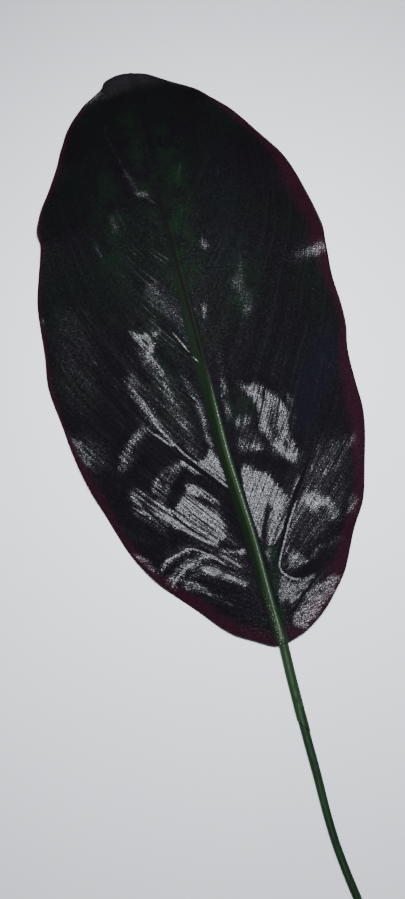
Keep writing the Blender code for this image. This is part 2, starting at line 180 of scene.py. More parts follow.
FOLDS: dict[str, Fold] = {
    "valley beside the rib": Fold(((-8, 50), (-11, 66), (-11, 84)), -1.7, 6, 4),
    "hook": Fold(((-8, 84), (-17, 94), (-26, 98.5), (-33, 92), (-40, 84)), -1.5, 3.2, 3.2),
    "left main vein": Fold(((-5, 81), (-20, 96), (-31, 114), (-40, 123), (-47, 137),
                            (-52, 160)), -1.3, 1.2, 1.2),
    "left main vein bank": Fold(((-6, 86), (-18, 99), (-29, 117), (-38, 128), (-44, 142),
                                 (-47, 160)), .9, 3.0, 3.0),
    "curved ridge": Fold(((-8, 92), (-11.5, 104), (-12, 118), (-13, 134), (-17, 150),
                          (-25, 168)), 1.3, 2.0, 2.6),
    "gutter by the curved ridge": Fold(((-16, 106), (-18, 118), (-20, 134), (-25, 150)),
                                       -1.1, 3.0, 2.2),
    "bar one": Fold(((-27, 124), (-30, 146), (-36, 168)), .8, 2.2, 2.4),
    "bar two": Fold(((-38, 130), (-42, 146), (-46, 165)), .7, 2.0, 2.4),
    "second left vein": Fold(((-6, 156), (-13, 171), (-20, 182), (-28, 200), (-36, 226)),
                             -.9, 1.6, 1.2),
    "second left vein bank": Fold(((-5, 162), (-12, 176), (-19, 190), (-27, 212)),
                                  .7, 2.4, 2.4),
    "upper left vein": Fold(((-4, 252), (-14, 268), (-20, 292), (-24, 316)), -.7, 1.4, 1.4),
    "upper arc": Fold(((-56, 45), (-46, 54), (-34, 57.5), (-22, 54), (-12, 49)),
                      1.5, 3.6, 3.2),
    "gutter of the arcs": Fold(((-51, 43), (-42, 50), (-33, 53), (-24, 51)), -1.0, 2.4, 2.4),
    "lower arc": Fold(((-50, 37), (-42, 46), (-33, 49), (-22, 47), (-12, 41)),
                      1.4, 3.0, 3.4),
    "third arc": Fold(((-40, 42), (-30, 42), (-20, 38), (-9, 31)), .9, 2.2, 2.6),
    "foot of the left patch": Fold(((-10, 47), (-26, 54), (-42, 63), (-57, 75)),
                                   -1.4, 3.4, 4.2),
    "left streak": Fold(((-62, 108), (-52, 120), (-43, 127)), 1.6, 4.0, 3.4),
    "dip under the streak": Fold(((-60, 100), (-50, 108), (-40, 112)), -1.5, 4, 4),
    "pucker": Fold(((3, 98.5), (13, 97), (22, 90.5), (32, 84)), -2.1, 4.0, 4.0),
    "right main vein": Fold(((8.7, 38), (13, 46), (20, 59), (31, 74), (40, 88), (47, 100)),
                            -1.5, 1.3, 1.2),
    "right main vein bank": Fold(((6, 40), (12, 49), (18, 61), (28, 76), (37, 90)),
                                 .7, 2.8, 2.4),
    "loop of the right vein": Fold(((8.7, 39), (10, 33), (15, 29.5), (25, 29), (33, 32)),
                                   -1.3, 2.0, 2.2),
    "branch by the rib": Fold(((3, 106), (5, 118), (9, 128), (11, 142)), -1.6, 1.5, 3.5),
    "streak by the rib": Fold(((5, 122), (6, 140), (9, 160)), .9, 1.6, 2.0),
    "low right vein": Fold(((7, 14), (17, 22), (28, 30)), -.7, 1.2, 1.2),
    "gutter of the blob": Fold(((30, 58), (40, 75), (52, 84)), -.8, 3, 3),
    "right dale": Fold(((46, 106), (56, 122), (64, 140)), -1.4, 9, 9),
}
PADS: dict[str, Pad] = {
    "left patch": Pad(((-12, 52), (-24, 57), (-42, 67), (-54, 80), (-46, 84), (-38, 82),
                       (-31, 89), (-25, 88), (-17, 79), (-14, 64)), 1.2, 3.0),
    "bean": Pad(((13, 136), (24, 137), (31, 127), (36, 114), (34, 102), (37, 90), (30, 88),
                 (23, 98), (20, 108), (20, 124)), 1.5, 2.6),
    "low right blob": Pad(((12, 38), (22, 42), (31, 41), (33, 36), (24, 33), (14, 33)),
                          1.0, 2.6),
    "right blob": Pad(((30, 62), (33, 70), (41, 71), (44, 64), (38, 57)), 1.0, 3.0),
    "left heart": Pad(((-40, 188), (-34, 182), (-24, 184), (-26, 168), (-33, 160),
                       (-40, 172)), 1.2, 3.5),
}


@dataclass(frozen=True)
class Facet:
    """Pressed part of the blade that lies turned to the lamp, as the photo shows it.

    Args:
        outline: in mm.
        soft: half width of its edge in mm.
        turn: 1 for a part that mirrors the lamp in full, 0 for one that doesn't.
    """

    outline: Path
    soft: float
    turn: float

    def at(self, x: np.ndarray, y: np.ndarray) -> np.ndarray:
        """Returns: how far the blade is turned to the lamp at plan points x, y."""
        return Pad(self.outline, self.turn, self.soft).at(x, y)


# What the camera sees against the plane of the table, in mm.
FACETS: dict[str, Facet] = {
    "left patch": Facet(((-27.8, 90.7), (-22.2, 87.9), (-18.3, 84), (-23.7, 81.9), (-19.4, 76.6),
        (-15.2, 71.4), (-13.8, 66.2), (-14.2, 60.8), (-16, 57.5), (-20.2, 54.8), (-28.5, 59.9),
        (-34.1, 65.1), (-38.8, 68.4), (-42.4, 73.5), (-47.8, 79.7), (-50.2, 84.5), (-47.3, 88),
        (-44, 87.1), (-40.7, 83.5), (-38, 80), (-32.5, 82.8), (-29.6, 86.3)), 1.2, .9),
    "core of the left patch": Facet(((-27.8, 85.1), (-23.5, 79.8), (-16.2, 73), (-14.4, 66.3),
        (-14.8, 59.5), (-19.7, 56.7), (-27.9, 62.2), (-35.5, 70.3), (-36.9, 76.2), (-32.5, 80)),
        2.4, 1.0),
    "tongue of the left patch": Facet(((-22.3, 87.2), (-18.1, 84.7), (-14.6, 79.2), (-12, 75.8),
        (-13.6, 75.1), (-17.6, 78.3), (-21.7, 81.4)), 1.0, .6),
    "outside of the left patch": Facet(((-58.1, 95.7), (-53.9, 95.4), (-48.5, 91.8), (-46.5, 88.5),
        (-48.4, 83.3), (-44.7, 78.2), (-41.1, 70.4), (-44.2, 65.7), (-48.2, 69.4), (-52.2, 76),
        (-57.8, 81.6), (-59.9, 87.7)), 2.0, .7),
    "shoulder of the left patch": Facet(((-46.8, 90), (-45.4, 96), (-41.8, 99.3), (-37.7, 101.9),
        (-32.9, 104.2), (-28.4, 105.2), (-27.8, 102.2), (-32.1, 99), (-35.7, 95.6), (-38.1, 91.3),
        (-39.2, 86.6), (-40.4, 84.5), (-43.9, 87.5)), 1.5, .55),
    "rim of the shoulder": Facet(((-46.8, 90), (-45.4, 96), (-41.8, 99.3), (-38.8, 101.4),
        (-38, 100.5), (-41, 97), (-43.1, 92.6), (-43.7, 88.5)), 1.4, .85),
    "end of the shoulder": Facet(((-28.3, 105.6), (-24.8, 102.8), (-23, 98.8), (-19.8, 94.5),
        (-20.7, 93.8), (-24.7, 97.6), (-27.1, 100.6), (-28.9, 103.2)), .9, .8),
    "wedge": Facet(((-19.2, 99.9), (-16.7, 101.5), (-13.2, 104.2), (-10.5, 106.4), (-8.2, 101.4),
        (-7.3, 94), (-6.4, 86.7), (-6, 83), (-9.4, 86), (-12.3, 91), (-15.4, 95.4)), 1.0, 1.0),
    "curved streak": Facet(((-10.8, 105), (-12.3, 111.9), (-11.9, 119.2), (-12.5, 126.7),
        (-12.9, 135.1), (-10.6, 134.4), (-9.6, 128.2), (-9.2, 121.4), (-9.4, 114.8),
        (-8.6, 108.1)), 2.0, .7),
    "curved streak, upper": Facet(((-17.4, 155), (-15.1, 151), (-12.9, 144.7), (-11.4, 139.7),
        (-9.8, 135.3), (-9.1, 129.5), (-9.3, 122.4), (-12.8, 123.3), (-13.2, 130.1), (-14.5, 136),
        (-15.7, 142), (-16.9, 148)), 2.2, .56),
    "veil by the streak": Facet(((-24.3, 113.6), (-19.6, 109.5), (-17.1, 105.2), (-18.7, 102),
        (-21.3, 105.5), (-23.8, 109.8)), 1.4, .46),
    "left bar": Facet(((-46.6, 155.8), (-43.3, 153.8), (-40.6, 149.1), (-37.6, 143.2), (-35, 138),
        (-33.2, 132), (-32.9, 128.6), (-38, 129.9), (-41.1, 135.1), (-43.2, 142.4), (-45, 148.6),
        (-46.2, 152.9)), 1.9, .68),
    "left bar, lower": Facet(((-41, 142.4), (-36.3, 141.2), (-36.6, 136.8), (-34.2, 131.7),
        (-33.2, 126.9), (-32.6, 123.1), (-32.3, 118.6), (-31, 115), (-33.1, 118.1), (-35, 122.2),
        (-37.4, 127.3), (-39.9, 134.6)), 1.7, .74),
    "left streak": Facet(((-61, 110.8), (-55.9, 111.6), (-50.1, 115.2), (-45, 119), (-42.2, 121.9),
        (-38.3, 123.1), (-39.4, 124.9), (-42.9, 125), (-47.7, 122.6), (-51.9, 120), (-56.3, 116.1),
        (-59.7, 113.3)), 2.4, .54),
    "specks over the streak": Facet(((-47.9, 134.5), (-43.1, 133.2), (-40.9, 127.5),
        (-42.2, 124.9), (-45.2, 127.1)), 2.0, .42),
    "middle bar": Facet(((-34.4, 171.1), (-30.5, 168.9), (-28.7, 165), (-26.9, 161),
        (-25.1, 154.8), (-24.3, 148.8), (-23.3, 144), (-22, 138.5), (-21.2, 132.7), (-24.7, 133.7),
        (-25.9, 140.1), (-26.6, 146), (-27.2, 153), (-29.2, 158.1), (-31.8, 163.5),
        (-34.1, 167.6)), 2.1, .64),
    "foot of the middle bar": Facet(((-23.8, 124.5), (-20.1, 125), (-19.3, 121.8), (-20.9, 118.6),
        (-22.8, 120.9)), 1.6, .68),
    "heart": Facet(((-38.2, 183.3), (-36, 183.3), (-33, 179.6), (-30.2, 180), (-28.1, 179.4),
        (-27.7, 176.4), (-26.6, 173.8), (-25.2, 173.1), (-26.4, 170.2), (-28.6, 167.8),
        (-30.7, 168.4), (-32.1, 171.7), (-34.6, 175.3), (-37.6, 179)), 1.0, .84),
    "ear of the heart": Facet(((-25.3, 181.7), (-23.7, 179.4), (-21.2, 180.6), (-21.8, 177.8),
        (-24.3, 174.3), (-25.6, 175.8)), 1.0, .62),
    "thread left of the heart": Facet(((-43.1, 174), (-42.2, 173.2), (-39.9, 166.2), (-39, 161.9),
        (-39.9, 162.7), (-41.3, 166)), .7, .42),
    "thread under the heart": Facet(((-38.2, 170.4), (-37, 169.5), (-34.4, 164.1), (-31.8, 156.5),
        (-28.9, 150), (-30, 150), (-33.3, 156.9), (-35.7, 163.3)), .7, .4),
    "upper arc": Facet(((-54, 47.8), (-51, 51.8), (-47.5, 54.9), (-44.1, 54.7), (-38.8, 56.8),
        (-33.2, 57.4), (-28.5, 54.5), (-24.4, 51.4), (-28.7, 53.4), (-33.6, 55.9), (-38.6, 54.9),
        (-43.2, 53), (-46.2, 51.8), (-50.3, 48.9)), .9, .86),
    "line to the rib": Facet(((-20.8, 54.9), (-16.8, 52), (-11.7, 50.4), (-6.2, 50.4),
        (-5.6, 47.7), (-8.5, 47.2), (-13.4, 49.1), (-18.3, 51.4)), .9, .86),
    "second line to the rib": Facet(((-18.5, 50.6), (-14.1, 46.6), (-9.5, 42.1), (-10.8, 41),
        (-15.1, 45.2), (-18.9, 49.2)), .8, .76),
    "lens": Facet(((-31.4, 48.2), (-27.6, 47.2), (-23.9, 45.6), (-21.2, 42.9), (-22.5, 40.5),
        (-26, 40.1), (-28.8, 42.1), (-31.4, 45.5)), 1.1, 1),
    "foot of the lens": Facet(((-22.5, 40.5), (-18.6, 39.6), (-13.9, 37), (-9.2, 33),
        (-11.3, 31.2), (-14.9, 33.3), (-19, 35.7), (-22.3, 38.5)), 1.1, .8),
    "lower arc": Facet(((-48.1, 38.3), (-45.1, 42.2), (-41.5, 46), (-37.7, 47.7), (-33.8, 49.4),
        (-30.8, 50.7), (-29.8, 49.1), (-33, 47.2), (-37.5, 45.7), (-40.7, 43.8), (-44.1, 40.7),
        (-46.7, 38.6)), 1.0, .9),
    "third arc": Facet(((-41.6, 42.7), (-37, 42.2), (-33.8, 38.7), (-30.6, 35.3), (-27.1, 30.4),
        (-30.3, 31.2), (-34.7, 35), (-40.9, 37.2)), 1.4, .7),
    "end of the third arc": Facet(((-37.7, 42.7), (-34.9, 40.9), (-31.3, 35.8), (-34.9, 34.5),
        (-39, 37.7)), 1.3, .5),
    "specks below the arcs": Facet(((-31.8, 35.9), (-26.5, 31.4), (-19.7, 24.4), (-20.9, 23.7),
        (-27, 29.4), (-31.9, 33.3)), 1.6, .4),
    "low left margin": Facet(((-64.5, 64.3), (-59.9, 60.4), (-56.7, 56.6), (-53.9, 51.1),
        (-55.1, 48.8), (-58.1, 53.5), (-61.8, 58.2)), 1.3, .7),
    "end of the upper thread": Facet(((-7.5, 159.9), (-5.7, 158.3), (-4.1, 153.8), (-4.9, 152.9),
        (-6.5, 157.3)), .8, .6),
    "upper left veil": Facet(((-26.3, 204.1), (-21.1, 204.6), (-16.1, 202), (-11.8, 196.6),
        (-8.7, 191), (-7.8, 185.3), (-6.7, 180.9), (-10.9, 182), (-14.5, 185.3), (-17.9, 189.8),
        (-22.1, 193.3), (-24.7, 198.9)), 1.8, .3),
    "low part of the veil": Facet(((-12.1, 179.3), (-9.6, 178.1), (-7, 168.5), (-7.9, 167),
        (-9.8, 172.8)), 1.4, .34),
    "right patch": Facet(((3.8, 94.8), (6.8, 93.5), (10.3, 89.2), (14.6, 85.4), (17.6, 81.9),
        (19.8, 78), (20, 73.9), (18.5, 68.3), (15.3, 63.9), (13.3, 66.3), (11.1, 70.2),
        (8.5, 64.3), (2.3, 53), (.8, 60.9), (.5, 69.5), (.7, 79.4), (1.4, 88)), 1.0, .92),
    "flank of the right vein": Facet(((20, 73.9), (24.2, 70.4), (20.4, 63), (16.6, 56.6),
        (13.4, 51.6), (8.6, 48.6), (5.4, 49.4), (7, 54.9), (8.6, 61), (11.3, 66.2), (14.9, 67.3)),
        1.4, .72),
    "high flank of the vein": Facet(((30.7, 81.2), (34.4, 82.3), (32.5, 78.1), (28.9, 75),
        (24.7, 69.4), (20.8, 62.5), (17.1, 56.2), (16, 56.5), (19.9, 64), (23.2, 71.1),
        (26.6, 76.2)), 1.1, .62),
    "drop by the smear": Facet(((3.4, 46.8), (5.7, 46.7), (5.3, 41.7), (3.7, 41.1)), .9, .66),
    "top of the pucker": Facet(((5, 117.5), (8.3, 119.7), (12.5, 120.1), (16, 118.1), (16, 115.3),
        (11.9, 112.9), (7.6, 111.9), (4.9, 113.3)), 1.5, .56),
    "crest of the pucker": Facet(((4.6, 110.6), (7.6, 109.1), (9.9, 105.1), (14.1, 103.3),
        (18.1, 100.8), (15.5, 98.8), (10.2, 98.6), (4.3, 99.5), (3.5, 103.3)), 1.4, .55),
    "between the crests": Facet(((7.3, 113.4), (12.7, 113.3), (16.4, 106.8), (16.6, 102.6),
        (10.5, 104.9), (6.8, 108.6)), 2.0, .42),
    "bean": Facet(((13.4, 135.1), (17.4, 135.9), (21.6, 136.2), (25.2, 134.5), (26.3, 131),
        (29, 128.1), (32.7, 124.3), (34.6, 118.9), (34, 112), (32.8, 105.3), (34.3, 98.7),
        (34.6, 94.5), (33.8, 89.9), (30.7, 88.3), (28.3, 89.3), (25.8, 92.3), (23, 96.5),
        (20.6, 100.2), (19.8, 104.5), (17.5, 108.6), (17.5, 113.5), (18.8, 118.1), (18.9, 123.7),
        (18.1, 128.2), (15.7, 132)), 1.0, .74),
    "head of the bean": Facet(((15, 134.7), (18.5, 134.8), (24.5, 134.3), (25.5, 130.5),
        (22.8, 125.5), (20.4, 124), (18.9, 128.7)), 1.6, 1.0),
    "foot of the bean": Facet(((28.6, 102.3), (32.2, 100.6), (34, 95.3), (33.4, 90.7),
        (30.3, 89.1), (27.5, 93.6)), 1.8, .95),
    "beside the bean": Facet(((32.9, 130), (37.9, 125.8), (40.8, 121.5), (38.4, 110.8),
        (34.3, 100.8), (37, 93.9), (35.7, 89.4), (34.7, 95.2), (32.4, 101.3), (34, 112),
        (34.1, 121.8)), 2.2, .42),
    "haze of the upper arcs": Facet(((-47, 150), (-43, 136), (-37, 124), (-29, 113), (-20, 104),
        (-12, 103), (-11, 118), (-13, 135), (-17, 150)), 5.0, .27),
    "haze of the lower arcs": Facet(((-54, 47), (-46, 57), (-36, 61), (-26, 59), (-14, 52),
        (-9, 44), (-11, 33), (-24, 36), (-36, 40), (-47, 38)), 4.5, .3),
    "haze of the left margin": Facet(((-80, 132), (-72, 130), (-66, 122), (-62, 112), (-68, 108),
        (-76, 110)), 5.0, .38),
    "halo of the left bar": Facet(((-49, 158), (-46, 142), (-41, 130), (-35, 119), (-29, 112),
        (-26, 114), (-30, 124), (-34, 136), (-38, 148), (-41, 158)), 2.0, .48),
    "halo of the middle bar": Facet(((-38, 172), (-36, 160), (-32, 146), (-28, 132), (-24, 118),
        (-17, 118), (-19, 132), (-23, 148), (-27, 164), (-30, 172)), 2.0, .38),
    "halo of the left streak": Facet(((-63, 107), (-58, 118), (-48, 126), (-38, 130), (-36, 124),
        (-46, 118), (-55, 109), (-59, 104)), 2.2, .42),
    "haze of the left flank": Facet(((-84, 160), (-83, 190), (-76, 206), (-64, 204), (-57, 186),
        (-60, 162), (-66, 142), (-76, 140)), 7.0, .24),
    "haze of the right field": Facet(((37, 92), (44, 97), (56, 97), (65, 95), (61, 84), (56, 74),
        (53, 64), (46, 56), (36, 47), (26, 44), (17, 46), (19, 56), (24, 64), (30, 74), (34, 84)),
        6.0, .37),
    "right field": Facet(((42.6, 87.6), (46.4, 89.4), (50.7, 90.3), (55.6, 93.2), (60.9, 93.2),
        (64.9, 92.8), (63.3, 87.7), (58.8, 86.2), (55.5, 81.6), (53.9, 78.6), (49.6, 77.7),
        (45.6, 77.4), (42.5, 76.1), (38.8, 77.1), (36.5, 80.4), (38.2, 84)), 2.2, .5),
    "end of the right field": Facet(((61.1, 93.8), (66.8, 95.8), (68.3, 91.9), (65.3, 88.6),
        (61, 89)), 1.8, .52),
    "core of the right field": Facet(((38.7, 81.2), (43, 82.1), (47.4, 78.9), (45.8, 76),
        (41.9, 76.3), (39, 77.7)), 1.6, .56),
    "low right field": Facet(((44.8, 74.9), (53.2, 76.1), (51.6, 66.5), (51.2, 60.6), (47.6, 59.5),
        (45.8, 64.6), (44.6, 69.6)), 3.0, .38),
    "haze right of the vein": Facet(((20.6, 56.6), (25, 63.6), (29.6, 70.4), (35.4, 78.4),
        (41, 86), (44.6, 83), (38, 77), (37, 73), (30, 69.6), (28, 60)), 1.6, .45),
    "right blob": Facet(((29.8, 68.7), (32.9, 70.3), (36.8, 70.1), (40.2, 68.2), (41.3, 65.1),
        (44.2, 63.7), (44.7, 60.9), (41.9, 60.3), (38.3, 61.6), (35.5, 58.7), (32.2, 58.9),
        (30.9, 63.2)), 1.5, .95),
    "left of the blob": Facet(((27, 68.1), (30, 69.4), (30.7, 62.6), (32.7, 58.1), (28.8, 53.8),
        (25, 51.9), (26.5, 57.1), (21.6, 56), (22.3, 60.8), (25.3, 64.6)), 1.4, .46),
    "tail of the blob": Facet(((41.3, 65.1), (44.7, 60.9), (47.4, 56.9), (46.3, 53.3),
        (42.7, 52.1), (40.2, 54.8), (39.3, 58.4), (38.4, 61.9)), 1.4, .6),
    "low right margin": Facet(((55.1, 64.9), (57.7, 64.9), (58.3, 61.4), (56.5, 56.6),
        (54.1, 52.9), (51.5, 53), (49.5, 55.1), (51.2, 58.6)), 1.5, .6),
    "low blob": Facet(((13, 45.9), (15.8, 46.2), (18, 44.1), (19.6, 40.4), (22.3, 38.1),
        (24.2, 35.5), (21.8, 34.5), (17.9, 34.2), (14.4, 35.3), (13.3, 38.3), (14.9, 41.1)), 1.6,
        .62),
    "veil over the low blob": Facet(((28.8, 41.9), (33.3, 44), (37.6, 44), (41.1, 44.7),
        (44.3, 44.4), (44.6, 41.6), (39.9, 40.7), (34.4, 40.4), (29.2, 37.5), (24.2, 35.5),
        (23.8, 37.7)), 1.8, .43),
    "base, upper": Facet(((8.1, 34.2), (12.5, 28.6), (15.9, 27.2), (20.1, 28.5), (24, 29.1),
        (25.1, 27.3), (21.2, 25.1), (17.1, 21.9), (12.9, 18.7), (9.1, 15.5), (8.3, 19.4),
        (4.7, 19.2), (3.9, 23.1), (6.3, 27.8)), 1.4, .64),
    "base, lower": Facet(((23.1, 24.1), (27.6, 24.5), (33.1, 26.8), (35.9, 27.2), (38.1, 26.1),
        (36.8, 22.7), (32.8, 18.5), (27.7, 14), (22.3, 10.1), (17.7, 7.2), (13.6, 4.3), (9.7, 5.3),
        (7.3, 8.2), (9.5, 12.3), (13.9, 16.4), (17.5, 19.7)), 1.5, .68),
    "core of the base": Facet(((16.5, 16.3), (22.4, 17.9), (24.6, 14.2), (21.1, 9.9), (15.5, 7.2),
        (13.6, 9.7)), 2.2, .8),
    "by the rib": Facet(((4.3, 145.8), (5.8, 143.4), (7, 139.4), (6.5, 135), (4.5, 134.3),
        (3.5, 136.9), (3.4, 141.5)), 1.0, .66),
    "by the rib, lower": Facet(((2, 135.1), (3.4, 134.1), (3.9, 128.9), (4.5, 123.8), (5.8, 118.5),
        (2, 119.5), (2.4, 124.9), (2.2, 129.4)), .9, .6),
    "by the rib, upper": Facet(((7.9, 159.9), (9.6, 158.3), (8.7, 151.6), (6.9, 145.7), (5, 146.8),
        (5.9, 153.5)), 1.2, .16),
    "by the rib, foot": Facet(((3.2, 128.5), (4.9, 128.8), (6.1, 124.2), (4.6, 121.1),
        (2.2, 119.6), (1.4, 121.9)), 1.0, .6),
    "upper right spot": Facet(((4.2, 191.1), (5.5, 187.7), (8.3, 187.1), (6.3, 183.9),
        (4.5, 180.7), (3.7, 182.1), (4.5, 186.2)), .8, .72),
    "beside the spot": Facet(((1.1, 191.3), (1.3, 186.5), (2.3, 183.8), (1.4, 183.5), (.6, 186.7)),
        .7, .45),
    "upper right veil": Facet(((28.4, 183.4), (32.2, 181.2), (31.9, 175.9), (27.9, 175.2),
        (26.5, 178.5)), 1.6, .56),
    "over the veil": Facet(((27.7, 191.4), (34.5, 189.6), (32.4, 181.7), (27.2, 183.1)), 2.4, .36),
    "left margin": Facet(((-84, 133), (-79, 130), (-74, 124), (-70, 119), (-74, 112), (-78, 112),
        (-80, 118)), 2.2, .6),
    "upper margin": Facet(((67, 203), (72, 207), (84, 209), (84, 203), (77, 201)), 2.2, .85),
    "veil of the upper margin": Facet(((58, 203), (66, 208), (76, 210), (76, 201), (66, 199)), 3.0,
        .3),
    "far line": Facet(((-23.6, 317), (-21.6, 303), (-18.6, 287), (-16.2, 279), (-17.2, 279),
        (-19.8, 288), (-22.6, 303), (-24.4, 317)), .7, .4),
    "specks by the far line": Facet(((-20, 286), (-17, 281), (-14, 272), (-12.5, 266), (-15, 266),
        (-17.5, 274), (-20, 281)), 1.2, .4),
    "far spot": Facet(((-17.5, 268), (-12, 269), (-9, 265), (-5.5, 256), (-6.5, 256), (-10, 262),
        (-14, 264)), .8, .5),
    "far patch": Facet(((-35, 255), (-31, 257), (-29.5, 250), (-30.5, 244), (-34, 245)), 1.4, .36),
    "far thread": Facet(((-29.5, 260), (-28.7, 260), (-24.6, 243), (-25.5, 242)), .7, .36),
    "thin far thread": Facet(((-46.5, 243), (-45.5, 243), (-43, 232), (-44.4, 231)), .8, .42),
    "far right thread": Facet(((10, 269), (12, 271), (15.5, 279), (14, 279)), .8, .42),
    "right glint": Facet(((12.5, 228), (15.5, 229), (18, 223), (15, 220)), 1.2, .62),
    "right dot": Facet(((34.4, 268), (35.8, 269), (36, 267.4), (34.8, 266.8)), .7, .5),
    "left dot": Facet(((-86, 203), (-84, 204), (-83.5, 200), (-85.5, 199)), 1.0, .6),
    "veil above the second vein": Facet(((-26, 206), (-18, 210), (-12, 196), (-9, 184), (-13, 182),
        (-20, 194)), 2.2, .32),
    "green veil of the right": Facet(((24, 198), (30, 204), (36, 216), (32, 196), (28, 184)), 2.2,
        .38),
    "fold of the tip": Facet(((-19, 335), (-17, 342), (-8, 350), (4, 350), (16, 342), (20, 336),
        (6, 338), (-6, 336)), 3.5, .3),
}

# Dark furrows across the facets: path and half width in mm.
CREASES: dict[str, tuple[Path, float]] = {
    "streak of the right patch": (((11.9, 70.7), (8.8, 64.2), (6.4, 58.9), (4.4, 52.9)), .9),
    "bean, head": (((26.7, 132.7), (24.5, 127.9), (22.5, 122)), .6),
    "bean, middle": (((23, 114.9), (25.6, 117), (29.7, 119.5)), .55),
    "bean, second": (((22.2, 110.2), (25.3, 113.6), (27.3, 115.8)), .55),
    "bean, inner": (((22.7, 100.3), (23.6, 103.6), (26.2, 105.7), (28.6, 107.1)), 1.0),
    "bean, foot": (((27.3, 92.6), (28.4, 96.1), (29.9, 99.2)), .55),
    "left patch, gap": (((-26.5, 84.4), (-22, 80.1), (-18.1, 76.3), (-15.9, 74.3)), .45),
    "left patch, outer": (((-53.7, 87.5), (-49.3, 79.4), (-44.6, 72.7), (-39.4, 65.8)), .6),
    "left patch, middle": (((-39.7, 79), (-35.2, 71.6), (-28.7, 64.5), (-22.1, 58)), .45),
    "left patch, upper": (((-32.5, 80), (-27.3, 73.1), (-21.4, 66), (-16.8, 60)), .45),
    "shoulder, inner": (((-40, 98.2), (-39.6, 92.4), (-39.7, 87.5)), .6),
    "heart": (((-32.4, 177.6), (-30.5, 173.6), (-29.1, 170.3)), .6),
    "left bar": (((-42.2, 149), (-39.2, 143.1), (-36.5, 136.2), (-35.1, 130.8)), .6),
}

# Pressed lines with sharp edges, drawn by the shader from their distance: dark ones in the
# grooves of the main veins, light ones on their lips.
LINES: dict[str, dict[str, tuple[Path, float, float]]] = {
    "crease": {
        "left vein": ((
            (-5.5, 80), (-9, 84.2), (-14, 90.3), (-19, 95.6), (-22, 99.4), (-25.5, 103.4),
            (-29.6, 107.6)), .8, 1.0),
        "left vein, outer": ((
            (-30.6, 114), (-33.8, 118.6), (-37, 123.8)), .35, .8),
        "right vein": ((
            (7.2, 38), (9, 42), (11, 46), (14, 51.2), (18, 58), (22, 64.5), (26, 70.5),
            (31, 77), (36, 84), (42, 92)), .75, 1.0),
        "low right vein": ((
            (7.2, 11.8), (10.1, 14.2), (15.2, 19.2), (20.2, 23.2), (25.1, 27.3),
            (31, 31)), .5, .9),
        "second left vein": ((
            (-6, 158), (-9.4, 162.6), (-13.6, 170), (-17, 177), (-22, 188)), .5, .8)},
    "thread": {
        "upper lip of the left vein": ((
            (-5.8, 82.4), (-9.3, 87), (-12.5, 91.2), (-16, 95.4), (-19.5, 99.9), (-22, 103),
            (-25, 107), (-27.5, 111.2), (-30, 115.3), (-33, 120.2), (-36, 126.3),
            (-38, 131)), .62, .95),
        "outer strand": ((
            (-28.6, 111.6), (-32, 114.6), (-35.5, 118.6), (-39.5, 123.2)), .6, .8),
        "lower lip of the left vein": ((
            (-18, 92.4), (-21, 95.8), (-23.2, 98.6), (-26, 102.2), (-29, 105)), .6, .85),
        "lip of the right vein": ((
            (18, 28.2), (14, 29), (11, 31.5), (9, 34), (8.5, 37.4), (9.9, 41), (12.3, 45.2),
            (15.7, 51.1), (19.7, 58), (23.4, 63.6), (27, 69)), .58, .95),
        "upper arc": ((
            (-51, 51.6), (-47, 54.2), (-42, 55.6), (-36, 57.2), (-33, 56.8), (-30, 55.2),
            (-27, 53), (-23.4, 50.6), (-20.6, 47.6)), .5, .8),
        "thin arc": ((
            (-33, 50.6), (-29, 51.2), (-25, 50.4), (-22, 48.6), (-19.5, 46), (-17.4, 43)),
            .5, .9),
        "lower arc": ((
            (-49.4, 38.6), (-45.4, 42.8), (-41.3, 46.2), (-37.2, 48.4), (-33, 50)), .8, .9),
        "upper thread": ((
            (-3.8, 153.6), (-6.4, 158), (-8.6, 161.8), (-11, 168), (-13.2, 173),
            (-15.6, 177.4)), .42, .95),
        "strand of the heart": ((
            (-24, 152), (-27.4, 160), (-31.6, 169), (-36, 177)), .4, .6)},
}

# Sprayed patches of each colour.
SPRAYS: dict[str, tuple[Facet, ...]] = {
    "green": (
        Facet(((5.2, 49), (10.2, 45), (8, 35), (5, 25), (4, 14), (3.4, 4), (-1, 4), (0, 25),
               (1, 39)), 1.4, .95),
        Facet(((3, 119), (4, 138), (14, 135), (20, 125), (17, 119), (9, 117)), 3.0, .45),
        Facet(((-12, 196), (-13, 250), (-14, 318), (-6, 322), (-2, 300), (-2, 250), (-3, 200)),
              7.0, .55),
        Facet(((1, 200), (2, 250), (3, 305), (12, 304), (16, 275), (13, 235), (6, 200)),
              7.0, .65),
        Facet(((-3, 206), (-3.5, 230), (-4, 262), (1, 262), (5, 240), (4, 220), (1, 206)),
              2.0, .8),
        Facet(((-48, 225), (-42, 255), (-36, 290), (-26, 290), (-22, 250), (-28, 215),
               (-38, 205)), 9.0, .4),
        Facet(((20, 180), (24, 205), (34, 225), (44, 215), (36, 190), (28, 175)), 7.0, .45),
        Facet(((-30, 120), (-34, 150), (-36, 185), (-24, 205), (-12, 200), (-16, 150),
               (-20, 120)), 8.0, .3)),
    "blue": (
        Facet(((38, 104), (44, 130), (60, 152), (74, 160), (72, 140), (56, 120), (44, 100)),
              6.0, .75),
        Facet(((20, 205), (26, 250), (34, 295), (46, 290), (42, 240), (32, 205)), 9.0, .35),
        Facet(((-14, 12), (-22, 20), (-16, 34), (-8, 34), (-7, 18)), 5.0, .4)),
}
